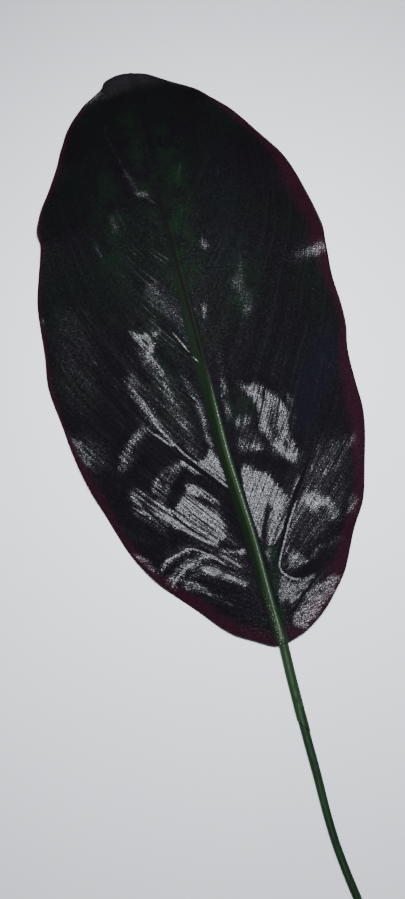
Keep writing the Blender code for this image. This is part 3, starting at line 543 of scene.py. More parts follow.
# (y, width of the burgundy band) along each margin.
WINE_LEFT: Path = ((0, 10), (20, 11), (50, 8), (100, 8), (125, 5), (150, 4), (200, 4.5),
                   (225, 3), (250, 4), (300, 5), (325, 4), (338, 1), (LENGTH, 0))
WINE_RIGHT: Path = ((0, 9), (20, 15), (45, 12), (60, 11), (85, 11), (103, 17), (122, 13),
                    (150, 8), (190, 10), (215, 17), (245, 17), (280, 10), (305, 5), (325, 2),
                    (338, 1), (LENGTH, 0))

# Radii in mm, as in the CAD: the sheath's bore, its spigot, the socket's cup, the sleeve round
# it and the sheath.
BORE, SPIGOT, CUP, SLEEVE, SHEATH = .95, 1.55, 1.85, 2.45, 2.1
# Mean height of the blade in mm, and the steepest slope that the shading follows.
MEAN_LEVEL, STEEPEST = 6.0, 1.5


def smooth(low: float, high: float, x: np.ndarray) -> np.ndarray:
    """Returns: a soft step from 0 at low to 1 at high."""
    t = np.clip((x - low) / (high - low), 0.0, 1.0)
    return t * t * (3 - 2 * t)


def spline(points, at, knots=None) -> np.ndarray:
    """Smooth curve through points.

    Args:
        points: the points, of any dimension.
        at: places on the curve, in the knots' units.
        knots: one number for each point; shares of the chord length if left out.
    Returns: the curve's points.
    """
    p = np.asarray(points, float)
    if knots is None:
        knots = np.concatenate([[0], np.cumsum(np.linalg.norm(np.diff(p, axis=0), axis=1))])
        knots = knots / knots[-1]
    k = np.asarray(knots, float)
    slope = np.zeros_like(p)
    slope[1:-1] = (p[2:] - p[:-2]) / (k[2:] - k[:-2])[:, None]
    slope[0] = (p[1] - p[0]) / (k[1] - k[0])
    slope[-1] = (p[-1] - p[-2]) / (k[-1] - k[-2])
    at = np.clip(np.asarray(at, float), k[0], k[-1])
    i = np.clip(np.searchsorted(k, at, side="right") - 1, 0, len(k) - 2)
    h = (k[i + 1] - k[i])[..., None]
    s = (at - k[i])[..., None] / h
    return ((2 * s**3 - 3 * s**2 + 1) * p[i] + (s**3 - 2 * s**2 + s) * h * slope[i]
            + (3 * s**2 - 2 * s**3) * p[i + 1] + (s**3 - s**2) * h * slope[i + 1])


def level(table: Path, y) -> np.ndarray:
    """Returns: the height at y from a table of (y, height)."""
    p = np.asarray(table, float)
    return spline(p[:, 1:], y, knots=p[:, 0])[..., 0]


def midrib_x(y) -> np.ndarray:
    """Returns: the midrib's x at y."""
    return spline([p[:1] for p in MIDRIB], y, knots=[p[1] for p in MIDRIB])[..., 0]


def slopes(x: np.ndarray, y: np.ndarray, z: np.ndarray) -> np.ndarray:
    """Returns: dz/dx and dz/dy of a surface given as rows by columns."""
    points = np.stack([x, y, z], axis=-1)
    n = np.cross(np.gradient(points, axis=0), np.gradient(points, axis=1))
    up = np.where(np.abs(n[..., 2]) < 1e-9, 1.0, n[..., 2])
    return np.clip(-n[..., :2] / up[..., None], -STEEPEST, STEEPEST)


def cast(x: np.ndarray, y: np.ndarray, z: np.ndarray) -> tuple[np.ndarray, np.ndarray]:
    """Returns: where the camera sees points x, y, z against the table, in mm."""
    ex, ey, ez = (c / MM for c in Studio.eye)
    grow = ez / (ez - z)
    return ex + (x - ex) * grow, ey + (y - ey) * grow


def mirror_slopes(x: np.ndarray, y: np.ndarray) -> np.ndarray:
    """Returns: dz/dx and dz/dy with which the blade mirrors the lamp into the camera."""
    points = np.stack([x, y, np.full(x.shape, MEAN_LEVEL)], axis=-1)
    half = 0.0
    for place in (Studio.eye, Studio.key):
        ray = np.asarray(place) / MM - points
        half = half + ray / np.linalg.norm(ray, axis=-1, keepdims=True)
    return -half[..., :2] / half[..., 2:]


def linear(code: str) -> tuple[float, float, float, float]:
    """Returns: the linear colour of an sRGB hex code."""
    parts = [int(code[i:i + 2], 16) / 255 for i in (1, 3, 5)]
    return (*[c / 12.92 if c <= .04045 else ((c + .055) / 1.055) ** 2.4 for c in parts], 1.0)


def place_object(name: str, data) -> bpy.types.Object:
    """Returns: a new object with this data, linked to the scene."""
    piece = bpy.data.objects.new(name, data)
    bpy.context.scene.collection.objects.link(piece)
    return piece


def activate(piece: bpy.types.Object) -> None:
    """Makes piece the one selected and active object."""
    bpy.ops.object.select_all(action="DESELECT")
    piece.select_set(True)
    bpy.context.view_layer.objects.active = piece


def apply_modifier(piece: bpy.types.Object, kind: str, **settings) -> None:
    """Adds a modifier to piece with these settings and applies it."""
    modifier = piece.modifiers.new(kind.lower(), kind)
    for name, value in settings.items():
        setattr(modifier, name, value)
    activate(piece)
    bpy.ops.object.modifier_apply(modifier=modifier.name)


def ride_as(piece: bpy.types.Object, node: str) -> None:
    """Puts a finished piece on the leaf's root body in place of a CAD node, which it hides."""
    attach(piece, "root")
    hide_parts(node)
    log.info("%s: %d faces", piece.name, len(piece.data.polygons))


class Nodes:
    """Small helper that builds one Principled material."""

    def __init__(self, name: str) -> None:
        self.material = bpy.data.materials.new(name)
        self.material.use_nodes = True
        self.tree = self.material.node_tree
        self.shader = self.tree.nodes["Principled BSDF"]
        self.place = self.add("ShaderNodeTexCoord").outputs["Object"]

    def add(self, kind: str, inputs: dict | None = None, **settings) -> bpy.types.Node:
        """Adds a node.

        Args:
            kind: Blender's node type.
            inputs: input name or number to a value or to another node's output.
            settings: the node's own properties.
        Returns: the node.
        """
        node = self.tree.nodes.new(kind)
        for name, value in settings.items():
            setattr(node, name, value)
        for key, value in (inputs or {}).items():
            if isinstance(value, bpy.types.NodeSocket):
                self.tree.links.new(value, node.inputs[key])
            else:
                node.inputs[key].default_value = value
        return node

    def attribute(self, name: str) -> bpy.types.NodeSocket:
        """Returns: the named mesh attribute as a number."""
        return self.add("ShaderNodeAttribute", attribute_name=name).outputs["Fac"]

    def math(self, operation: str, a, b=0.0) -> bpy.types.NodeSocket:
        """Returns: a math node's result."""
        return self.add("ShaderNodeMath", {0: a, 1: b}, operation=operation).outputs[0]

    def product(self, *factors) -> bpy.types.NodeSocket:
        """Returns: the factors multiplied together."""
        result = factors[0]
        for factor in factors[1:]:
            result = self.math("MULTIPLY", result, factor)
        return result

    def vector(self, operation: str, *operands, **named) -> bpy.types.NodeSocket:
        """Returns: a vector math node's result."""
        return self.add("ShaderNodeVectorMath", dict(enumerate(operands)) | named,
                        operation=operation).outputs[0]

    def near(self, value, centre: float, *edges: float) -> bpy.types.NodeSocket:
        """Returns: a step over how far value is from centre."""
        return self.step(self.math("ABSOLUTE", self.math("SUBTRACT", value, centre)), *edges)

    def noise_at(self, *place, detail: float = 1.0) -> bpy.types.NodeSocket:
        """Returns: noise of grain size 1 at a place given by its own x, y and z."""
        run = self.add("ShaderNodeCombineXYZ", dict(enumerate(place))).outputs[0]
        return self.add("ShaderNodeTexNoise", {"Vector": run, "Scale": 1.0,
                                               "Detail": detail}).outputs["Fac"]

    def step(self, value, low: float, high: float, to: float = 1.0) -> bpy.types.NodeSocket:
        """Returns: 0 at low to `to` at high, softly; low may be above high."""
        flip = low > high
        node = self.add("ShaderNodeMapRange",
                        {"Value": value, "From Min": min(low, high), "From Max": max(low, high),
                         "To Min": to if flip else 0.0, "To Max": 0.0 if flip else to},
                        interpolation_type="SMOOTHSTEP")
        return node.outputs["Result"]

    def noise(self, size_mm: float, detail: float = 2.0, stretch=(1, 1, 1)):
        """Returns: a noise texture of about that grain size, as a number."""
        place = self.vector("MULTIPLY", self.place, stretch)
        return self.add("ShaderNodeTexNoise", {"Vector": place, "Scale": 1 / (size_mm * MM),
                                               "Detail": detail}).outputs["Fac"]

    def mix(self, factor, a, b) -> bpy.types.NodeSocket:
        """Returns: colour a mixed towards colour b; hex codes or sockets."""
        node = self.add("ShaderNodeMix", data_type="RGBA")
        for key, value in ((0, factor), (6, a), (7, b)):
            if isinstance(value, bpy.types.NodeSocket):
                self.tree.links.new(value, node.inputs[key])
            else:
                node.inputs[key].default_value = linear(value) if key else value
        return node.outputs[2]

    def blend(self, factor, a, b) -> bpy.types.NodeSocket:
        """Returns: vector a blended towards vector b."""
        node = self.add("ShaderNodeMix", data_type="VECTOR")
        for key, value in ((0, factor), (4, a), (5, b)):
            self.tree.links.new(value, node.inputs[key])
        return node.outputs[1]

    def bump(self, height, depth_mm: float, normal=None):
        """Returns: a normal bent by a height from 0 to 1 that stands depth_mm proud."""
        inputs = {"Height": height, "Distance": depth_mm * MM, "Strength": 1.0}
        if normal is not None:
            inputs["Normal"] = normal
        return self.add("ShaderNodeBump", inputs).outputs["Normal"]

    def finish(self, colour, roughness, normal, **constants) -> bpy.types.Material:
        """Links the three maps, sets the constants on the shader and returns the material."""
        for key, value in (("Base Color", colour), ("Roughness", roughness),
                           ("Normal", normal)):
            if isinstance(value, bpy.types.NodeSocket):
                self.tree.links.new(value, self.shader.inputs[key])
            else:
                self.shader.inputs[key].default_value = value
        for key, value in constants.items():
            self.shader.inputs[key.replace("_", " ")].default_value = value
        return self.material


@dataclass(frozen=True)
class PressedFabric:
    """Coated polyester weave, heat pressed and airbrushed: the upper face.

    The coat gives the silvery lights on flat areas, the weave breaks them into sparkle,
    the airbrush leaves green by the rib and burgundy at the margin. Some colour is painted
    light: a lighter tip as painted sheen, a lighter band under the rib's light line that is
    partly the rib's own green and partly painted highlight, and light specks at the rib's
    foot as painted highlight.
    the airbrush leaves green by the rib and burgundy at the margin.

    Args:
        violet, bottle, thread: dark ground below and above, and the strands in it.
        green, blue, burgundy, haze: sprayed patches, the margin, and a painted sheen at the tip.
        rib, crest_and_painted_highlight, rib_foot, rib_line, speck: band over the rib and what
        lies on it.
        rows: fine pressed rows from base to tip.
        thread_mm: grain of the weave.
    """

    violet: str = "#0a080c"
    bottle: str = "#090b0b"
    thread: str = "#101215"
    green: str = "#0a180e"
    rib: str = "#121b12"
    crest_and_painted_highlight: str = "#1c2a1a"
    rib_foot: str = "#1a2418"
    rib_line: str = "#0f0b0f"
    painted_glint: str = "#767f74"
    burgundy: str = "#1c0812"
    # haze: lighter colour at the tip, a painted sheen.
    haze: str = "#19171b"
    blue: str = "#0b0c15"
    rows: int = 204
    thread_mm: float = .55

    def colour(self, n: Nodes) -> bpy.types.NodeSocket:
        """Returns: the airbrushed colour."""
        rib, along = n.attribute("rib_mm"), n.attribute("along")
        off = n.math("ABSOLUTE", rib)
        strands = n.noise_at(n.product(n.attribute("vein"), 64.0), n.product(off, .045),
                             detail=3.0)
        upper = n.product(n.step(n.noise(34, 3.0), .34, .6), n.step(along, .30, .55))
        ground = n.mix(upper, self.violet, self.bottle)
        strands = n.product(n.step(strands, .46, .74, .45), n.step(along, .88, .7))
        ground = n.mix(strands, ground, self.thread)

        spray = n.product(n.attribute("green"), n.step(n.noise(10, 3.0), .34, .62))
        ground = n.mix(spray, ground, self.green)
        ground = n.mix(n.product(n.attribute("blue"), .7), ground, self.blue)
        uneven = n.product(n.math("SUBTRACT", n.noise(19, 3.0), .5), .9)
        edge = n.math("ADD", n.attribute("wine"), uneven)
        ground = n.mix(n.step(edge, .1, 1.05, .92), ground, self.burgundy)
        # Painted sheen: the ground turns lighter grey over the very tip.
        ground = n.mix(n.step(along, .95, .99, .8), ground, self.haze)

        band = n.product(n.near(rib, -.3, 4.1, 1.7), n.step(along, .78, .40))
        ground = n.mix(band, ground, self.rib)
        # Lighter green along the rib's light line: partly the rib's own colour, partly a painted
        # highlight.
        top = n.product(n.near(n.attribute("line_mm"), -.5, 2.0, .8), n.step(along, .44, .30))
        ground = n.mix(top, ground, self.crest_and_painted_highlight)
        foot = n.product(n.step(off, 4.2, 1.8), n.step(along, .050, .01, .7))
        ground = n.mix(foot, ground, self.rib_foot)
        # Light specks just left of the rib near the base: a painted speckled highlight.
        painted_glint_spots = n.product(n.near(rib, -1.2, 1.3, .5), n.step(along, .10, .05),
                         n.step(n.noise(.6), .60, .68))
        ground = n.mix(painted_glint_spots, ground, self.painted_glint)
        bend = n.math("ADD", rib, n.product(along, 8.9))
        line = n.product(n.near(bend, 5.3, 1.1, .4, .8), n.step(along, .42, .47),
                         n.step(along, .92, .86))
        ground = n.mix(line, ground, self.rib_line)
        return n.mix(n.step(n.noise(1.1, 1.0), .55, .8, .35), ground, "#000000")

    def leant(self, n: Nodes, vein) -> bpy.types.NodeSocket:
        """Returns: the normal leant by facets, drawn lines, threads, furrows and hairlines."""
        flat = n.add("ShaderNodeNewGeometry").outputs["Normal"]
        lean, mirror = (n.add("ShaderNodeAttribute", attribute_name=name).outputs["Vector"]
                        for name in ("lean", "mirror"))
        thread, crease = (n.product(n.attribute(name),
                                    n.near(n.attribute(name + "_off"), 0.0, 1.3, .6))
                          for name in ("thread", "crease"))
        rib, along, furrow = (n.attribute(name) for name in ("rib_mm", "along", "furrow"))
        off = n.math("ABSOLUTE", rib)
        lean = n.blend(thread, lean, mirror)
        aside = n.add("ShaderNodeCombineXYZ", {0: n.product(n.math("SIGN", furrow), .5)})
        lean = n.blend(crease, lean, n.vector("ADD", mirror, aside.outputs[0]))

        # The single threads of the weave tip each their own way, most off the rib.
        threads = n.add("ShaderNodeTexNoise", {
            "Vector": n.place, "Scale": 1 / (self.thread_mm * MM), "Detail": 0.0})
        tipped = n.vector("MULTIPLY_ADD", threads.outputs["Color"], (.5, .5, 0), (-.25, -.25, 0))
        tipped = n.vector("SCALE", tipped, Scale=n.math("ADD", n.step(off, 2.2, 3.8, .5), .5))
        leant = n.vector("ADD", n.vector("ADD", flat, lean), tipped)

        # Light hairlines along the veins in the middle of the blade, weaker right of the rib.
        hair = n.noise_at(n.product(vein, 330.0), n.product(along, 9.0), 7.0)
        zone = n.product(n.step(along, .40, .47), n.step(along, .74, .62),
                         n.step(off, 3.2, 5.0), n.step(off, 46, 24))
        hair = n.product(n.step(hair, .60, .70, .6), zone,
                         n.math("ADD", n.step(rib, 5, -1, .55), .45))
        leant = n.blend(hair, leant, n.vector("ADD", flat, mirror))

        fine = n.noise_at(n.product(vein, 210.0), n.product(along, 14.0))
        outward = n.product(n.step(fine, .50, .64), furrow)
        leant = n.vector("ADD", leant, n.vector("SCALE", (.2, 0, 0), Scale=outward))
        return n.vector("NORMALIZE", leant)

    def build(self) -> bpy.types.Material:
        """Returns: the material."""
        n = Nodes("polyester weave, coated, pressed and airbrushed")
        vein = n.attribute("vein")
        rows = n.math("SINE", n.product(vein, 2 * math.pi * self.rows))
        grain = n.noise(1.3, 1.0)
        normal = n.bump(rows, .008, self.leant(n, vein))
        normal = n.bump(n.noise(5.0, 2.0), .05, normal)
        normal = n.bump(grain, .05, normal)
        rough = n.add("ShaderNodeMapRange", {"Value": grain, "From Min": .3, "From Max": .7,
                                             "To Min": .24, "To Max": .38}).outputs["Result"]
        return n.finish(self.colour(n), rough, normal, Specular_IOR_Level=.14,
                        Specular_Tint=linear("#eef2fa"))


@dataclass(frozen=True)
class FabricBack:
    """Uncoated back of the same weave: duller, with the colours struck through."""

    base: str = "#1d1f1c"
    green: str = "#22301f"
    burgundy: str = "#33141c"

    def build(self) -> bpy.types.Material:
        """Returns: the material."""
        n = Nodes("polyester weave, uncoated back")
        off, margin = n.math("ABSOLUTE", n.attribute("rib_mm")), n.attribute("margin_mm")
        colour = n.mix(n.noise(22, 3.0), self.base, self.green)
        colour = n.mix(n.step(margin, 9.0, 2.0, .8), colour, self.burgundy)
        colour = n.mix(n.step(off, 6.0, 2.0, .6), colour, self.green)
        weave = n.noise(.7, 1.0)
        colour = n.mix(n.step(weave, .45, .75, .5), colour, "#0d0e0c")
        return n.finish(colour, .74, n.bump(weave, .14), Specular_IOR_Level=.3)


@dataclass(frozen=True)
class StemPlastic:
    """Soft green polyethylene, moulded or extruded: satin, with drawn streaks, scuffs and a
    painted highlight line along the top.
    """

    name: str
    base: str = "#182e18"
    dark: str = "#0f1f11"
    # light: colour of the painted highlight along the top.
    light: str = "#395638"
    scuff: str = "#7f9381"

    def build(self) -> bpy.types.Material:
        """Returns: the material."""
        n = Nodes(self.name)
        streak = n.noise(1.2, 3.0, stretch=(1, .06, 1))
        cloud = n.noise(9, 3.0)
        colour = n.mix(n.step(streak, .35, .7), self.dark, self.base)
        colour = n.mix(n.step(cloud, .62, .8, .3), colour, "#2e482a")
        # Lighter colour in a line along the top of the tube: a painted highlight.
        painted_top_highlight = n.product(n.near(n.attribute("round"), .275, .05, .01, .35),
                         n.step(n.noise(5.0, 3.0), .34, .56))
        colour = n.mix(painted_top_highlight, colour, self.light)
        rub = n.noise(2.6, 4.0, stretch=(1, .3, 1))
        colour = n.mix(n.step(rub, .66, .78, .4), colour, self.scuff)
        rough = n.add("ShaderNodeMapRange", {"Value": cloud, "To Min": .5, "To Max": .66})
        normal = n.bump(streak, .05, n.bump(n.noise(.8), .03))
        return n.finish(colour, rough.outputs["Result"], normal, Specular_IOR_Level=.13)


@dataclass(frozen=True)
class DrawnSteel:
    """Drawn steel wire: grey, mottled duller, with lengthwise drawing lines."""

    base: str = "#8d8f90"
    dull: str = "#5d5a55"

    def build(self) -> bpy.types.Material:
        """Returns: the material."""
        n = Nodes("steel wire, drawn and clipped")
        lines = n.noise(.12, 2.0, stretch=(1, .03, 1))
        colour = n.mix(n.step(n.noise(1.1, 3.0), .45, .7), self.base, self.dull)
        return n.finish(colour, .38, n.bump(lines, .01), Metallic=1.0)


@dataclass
class Blade:
    """The pressed blade, as one sheet with thickness.

    Args:
        rows: mesh lines along the side veins, more than four to each small vein.
        crowd: power that crowds them at the base.
        near: first mesh columns, mm off the midrib.
        far: columns from there to the margin.
        thick: of the sheet in mm.
        waves, wave_height: broad vein waves and their height in mm.
        veins, vein_height: small side veins and their height in mm.
        folds_kept: share of the folds' own slopes that is left in the shading.
        least_away: least slope off the lamp's mirror slope where no facet lies.
        rib_turn: change of slope for each mm across the rib.
    """

    rows: int = 296
    crowd: float = 2.2
    near: tuple[float, ...] = (0, .35, .7, 1.05, 1.4, 1.8, 2.2, 2.6, 3.0, 3.5, 4.2, 5, 6)
    far: int = 63
    thick: float = .6
    waves: int = 17
    wave_height: float = .08
    veins: int = 68
    vein_height: float = .03
    folds_kept: float = .2
    least_away: float = .45
    rib_turn: float = .55

    def net(self, side: Side, vein: np.ndarray, share: np.ndarray) -> np.ndarray:
        """Returns: the plan point at `share` of the way out along each vein."""
        root = vein ** self.crowd
        end = 1 - .75 * (1 - root) ** 7 - .25 * (1 - root)
        along = root + (end - root) * (.72 * share + .28 * share ** 2)
        middle = spline(MIDRIB, along)
        edge = spline(LEFT_MARGIN if side is Side.LEFT else RIGHT_MARGIN, along)
        return middle + (edge - middle) * share[..., None]

    def pressed(self, x: np.ndarray, y: np.ndarray) -> np.ndarray:
        """Returns: what the folds, pads and a little quilting add to the height."""
        rise = sum(fold.at(x, y) for fold in FOLDS.values())
        rise = rise + sum(pad.at(x, y) for pad in PADS.values())
        draw = np.random.default_rng(11)
        for _ in range(14):
            angle, size = draw.uniform(0, math.pi), draw.uniform(17, 40)
            phase = draw.uniform(0, 2 * math.pi)
            rise = rise + .03 * np.sin(2 * math.pi / size
                                       * (x * math.cos(angle) + y * math.sin(angle)) + phase)
        return rise

    def base_height(self, side: Side, share, x, y) -> np.ndarray:
        """Returns: the height of the blade's broad form over the table, without the rib."""
        yc = np.clip(y, 0, LENGTH)
        by_rib = level(CREST, yc) - level(HUMP, yc)
        rim = level(LEFT_RIM if side is Side.LEFT else RIGHT_RIM, yc)
        broad = smooth(0, 30, yc) * smooth(LENGTH, LENGTH - 30, yc)
        droop = (SHEET_LEVEL - by_rib) * broad
        return by_rib + droop * share ** 2.4 + (rim - by_rib - droop) * share ** 5

    def pressing(self, share, x, y) -> np.ndarray:
        """Returns: what the folds and pads add, run out at the rib and the margin."""
        yc = np.clip(y, 0, LENGTH)
        half, off = level(HUMP_HALF, yc), np.abs(x - midrib_x(yc))
        return self.pressed(x, y) * smooth(half, half + 3.0, off) * smooth(1.0, .9, share)

    def height(self, side: Side, vein, share, x, y) -> np.ndarray:
        """Returns: the height of the upper face over the table."""
        yc = np.clip(y, 0, LENGTH)
        hump, half = level(HUMP, yc), level(HUMP_HALF, yc)
        off = np.abs(x - midrib_x(yc))
        calm = smooth(6, 22, off) * smooth(1.0, .72, share) * smooth(8, 40, yc)
        calm = calm * (1 - .75 * smooth(170, 260, yc))
        small = smooth(3, 12, off) * smooth(1.0, .9, share)
        z = self.base_height(side, share, x, y) + self.pressing(share, x, y)
        z = z + self.wave_height * calm * np.sin(2 * math.pi * self.waves * vein)
        z = z + self.vein_height * small * np.sin(2 * math.pi * self.veins * vein)
        z = z + hump * np.exp(-(off / half) ** 2.6) - .25 * share ** 2
        return np.maximum(z, self.thick)

    def streaks(self, vein, share) -> np.ndarray:
        """Returns: uneven dark streaks along the veins, 0 to about .5."""
        draw = np.random.default_rng(8)
        rise = 0.0
        for _ in range(16):
            turns, bend = draw.uniform(45, 170), draw.uniform(-5, 5)
            rise = rise + np.sin(2 * math.pi * (turns * vein + bend * share)
                                 + draw.uniform(0, 6.3))
        return .4 * smooth(.6, 4.5, rise)

    def lean(self, side: Side, vein, share, x, y) -> np.ndarray:
        """Turns the shading to the lamp on the facets and off it between them.

        Returns: the x and y to add to the unit normal, the signed depth of the furrows, and
            the x and y that would mirror the lamp in full.
        """
        broad = self.base_height(side, share, x, y)
        whole = broad + self.pressing(share, x, y)
        plain, folded = slopes(x, y, broad), slopes(x, y, whole)
        face = mirror_slopes(x, y)
        turn = np.zeros(x.shape)
        draw = np.random.default_rng(5)
        wx, wy = (sum(.22 * np.sin(draw.uniform(.15, .9) * x + draw.uniform(.15, .9) * y
                                   + draw.uniform(0, 6.3)) for _ in range(6)) for _ in "xy")
        sx, sy = cast(x, y, whole)
        for facet in FACETS.values():
            turn = np.maximum(turn, facet.at(sx + wx, sy + wy))
        turn = turn * (1 - self.streaks(vein, share) * (.3 + .7 * turn))
        for path, width in CREASES.values():
            turn = turn * (1 - Fold(path, 1.0, width, width).at(sx, sy, fade=4.0))
        away = plain - face
        short = np.clip(self.least_away - np.linalg.norm(away, axis=-1), 0, None)
        away[..., 0] = away[..., 0] - side.value * short
        wanted = face + away * ((1 - turn) ** 1.2)[..., None]
        kept = self.folds_kept * (1 - turn)[..., None]
        change = wanted + kept * (folded - plain) - folded
        if side is Side.LEFT:
            furrow = .3 + .7 * smooth(54, 64, y) - .45 * smooth(86, 96, y)
        else:
            furrow = .3 + .5 * smooth(98, 108, y) - .4 * smooth(128, 142, y)
        furrow = side.value * furrow * (.3 + .7 * smooth(.1, .5, turn))
        along = np.clip(y, 0, LENGTH)
        across = x - midrib_x(along)
        off = np.abs(across)
        change = change * (smooth(2.3, 3.2, off) * smooth(1.0, .985, share))[..., None]
        humped = slopes(x, y, self.height(side, vein, share, x, y))
        rib = smooth(3.4, 2.6, off) * smooth(280, 230, y) * smooth(2, 12, y)
        line = face.copy()
        most = 1.1 - .75 * smooth(120, 180, y)
        line[..., 0] -= np.clip(self.rib_turn * (across - level(RIB_LINE, along)), -most, most)
        line[..., 1] -= .11 + .3 * smooth(125, 160, y)
        change = change + rib[..., None] * (line - humped - change)
        upright = 1 / np.sqrt(1 + (humped ** 2).sum(axis=-1, keepdims=True))
        return np.concatenate([-change * upright, furrow[..., None],
                               (humped - face) * upright], axis=-1)

    def half(self, side: Side) -> tuple[np.ndarray, ...]:
        """Returns: points, vein number and lean of one half, rows by columns."""
        rows = np.arange(1, self.rows) / self.rows
        near = np.array(self.near + (self.near[-1],) * self.far)
        far = np.concatenate([np.zeros(len(self.near)), np.arange(1, self.far + 1) / self.far])
        y = LENGTH * rows ** self.crowd
        wide = 84 * np.sqrt(np.clip(1 - ((y - 185) / 190) ** 2, 0, 1))[:, None] + 12
        share = near / wide + far * (1 - self.near[-1] / wide)
        vein = np.repeat(rows[:, None], share.shape[1], axis=1)
        plan = self.net(side, vein, share)
        z = self.height(side, vein, share, plan[..., 0], plan[..., 1])
        lean = self.lean(side, vein, share, plan[..., 0], plan[..., 1])
        return np.concatenate([plan, z[..., None]], axis=-1), vein, lean

    def surface(self):
        """Returns: points, faces, vein numbers and leans of the upper face."""
        grids = {side: self.half(side) for side in Side}
        left, right = grids[Side.LEFT][0], grids[Side.RIGHT][0]
        right[:, 0] = left[:, 0]
        count, cols = left.shape[:2]
        points = [[(0.0, 0.0, CREST[0][1])], [(0.0, LENGTH, CREST[-1][1])],
                  left.reshape(-1, 3), right[:, 1:].reshape(-1, 3)]
        points = np.concatenate([np.asarray(p, float) for p in points])
        vein = np.concatenate([[0, 1], grids[Side.LEFT][1].ravel(),
                               grids[Side.RIGHT][1][:, 1:].ravel()])
        lean = np.concatenate([np.zeros((2, 5)), grids[Side.LEFT][2].reshape(-1, 5),
                               grids[Side.RIGHT][2][:, 1:].reshape(-1, 5)])
        first = 2 + count * cols
        index = {Side.LEFT: 2 + np.arange(count * cols).reshape(count, cols)}
        rest = first + np.arange(count * (cols - 1)).reshape(count, cols - 1)
        index[Side.RIGHT] = np.concatenate([index[Side.LEFT][:, :1], rest], axis=1)
        faces = []
        for side, table in index.items():
            quads = np.stack([table[:-1, :-1], table[:-1, 1:], table[1:, 1:], table[1:, :-1]],
                             axis=-1).reshape(-1, 4)
            foot = [(0, int(b), int(a)) for a, b in zip(table[0], table[0, 1:])]
            head = [(1, int(a), int(b)) for a, b in zip(table[-1], table[-1, 1:])]
            loops = [tuple(int(i) for i in q) for q in quads] + foot + head
            faces += [f[::side.value] for f in loops]
        return points, faces, vein, lean

    def margin_distance(self, points: np.ndarray) -> np.ndarray:
        """Returns: each point's distance to the nearest margin in plan, in mm."""
        best = np.full(len(points), 1e9)
        steps = np.linspace(0, 1, 140)
        for margin in (LEFT_MARGIN, RIGHT_MARGIN):
            line = spline(margin, steps)
            for a, b in zip(line, line[1:]):
                run = b - a
                t = np.clip(((points[:, :2] - a) @ run) / (run @ run), 0, 1)
                best = np.minimum(best, np.linalg.norm(points[:, :2] - a - t[:, None] * run,
                                                       axis=1))
        return best

    def drawn(self, points: np.ndarray) -> dict[str, np.ndarray]:
        """Returns: for each kind of line, the signed distance in half widths, and strength."""
        sx, sy = cast(*points.T)
        values = {}
        for kind, lines in LINES.items():
            side, share = np.full(sx.shape, 9.0), np.zeros(sx.shape)
            for path, half, strength in lines.values():
                best, turn, along, left_over = Fold(path, 1.0, 1.0, 1.0).nearest(sx, sy)
                ends = smooth(0, 4, along) * smooth(0, 4, left_over)
                signed = np.where(turn > 0, best, -best) / half
                near = np.abs(signed) < np.abs(side)
                side = np.where(near, signed, side)
                share = np.where(near, strength * ends * smooth(4.0, 2.4, best), share)
            values[kind + "_off"], values[kind] = np.clip(side, -9, 9), share
        return values

    def airbrush(self, points: np.ndarray, margin: np.ndarray) -> dict[str, np.ndarray]:
        """Returns: how much of each sprayed colour lies on each point, from 0 to 1."""
        x, y, z = points.T
        sx, sy = cast(x, y, z)
        paint = {}
        for colour, patches in SPRAYS.items():
            paint[colour] = np.zeros(x.shape)
            for patch in patches:
                paint[colour] = np.maximum(paint[colour], patch.at(sx, sy))
        yc = np.clip(y, 0, LENGTH)
        left = x < midrib_x(yc)
        wide = np.where(left, level(WINE_LEFT, yc), level(WINE_RIGHT, yc))
        paint["wine"] = smooth(1.0, .08, margin / np.maximum(wide, .4)) * smooth(0, 3, wide)
        return paint

    def build(self) -> bpy.types.Object:
        """Returns: the blade as a finished piece."""
        points, faces, vein, lean = self.surface()
        mesh = bpy.data.meshes.new("blade")
        mesh.from_pydata((points * MM).tolist(), [], faces)
        values = {"vein": vein, "furrow": lean[:, 2],
                  "along": np.clip(points[:, 1] / LENGTH, 0, 1),
                  "rib_mm": points[:, 0] - midrib_x(np.clip(points[:, 1], 0, LENGTH)),
                  "margin_mm": self.margin_distance(points)}
        values["line_mm"] = values["rib_mm"] - level(RIB_LINE, np.clip(points[:, 1], 0, LENGTH))
        values |= self.airbrush(points, values["margin_mm"]) | self.drawn(points)
        for name, data in values.items():
            mesh.attributes.new(name, "FLOAT", "POINT").data.foreach_set("value", data)
        for name, part in (("lean", lean[:, :2]), ("mirror", lean[:, 3:])):
            flat = np.concatenate([part, np.zeros((len(part), 1))], axis=1)
            mesh.attributes.new(name, "FLOAT_VECTOR", "POINT").data.foreach_set(
                "vector", flat.ravel())
        uv = mesh.uv_layers.new(name="UVMap")
        corner = np.array([loop.vertex_index for loop in mesh.loops])
        flat = np.stack([points[corner, 0] / 180 + .5, points[corner, 1] / 360], axis=-1)
        uv.data.foreach_set("uv", flat.ravel())
        for material in (PressedFabric().build(), FabricBack().build()):
            mesh.materials.append(material)
        piece = place_object("blade", mesh)
        apply_modifier(piece, "SOLIDIFY", thickness=self.thick * MM, offset=-1,
                       material_offset=1, use_rim=True)
        activate(piece)
        bpy.ops.object.shade_smooth()
        for vertex in piece.data.vertices:
            vertex.co.z = max(vertex.co.z, 0.0)
        ride_as(piece, "leaf_blade")
        return piece


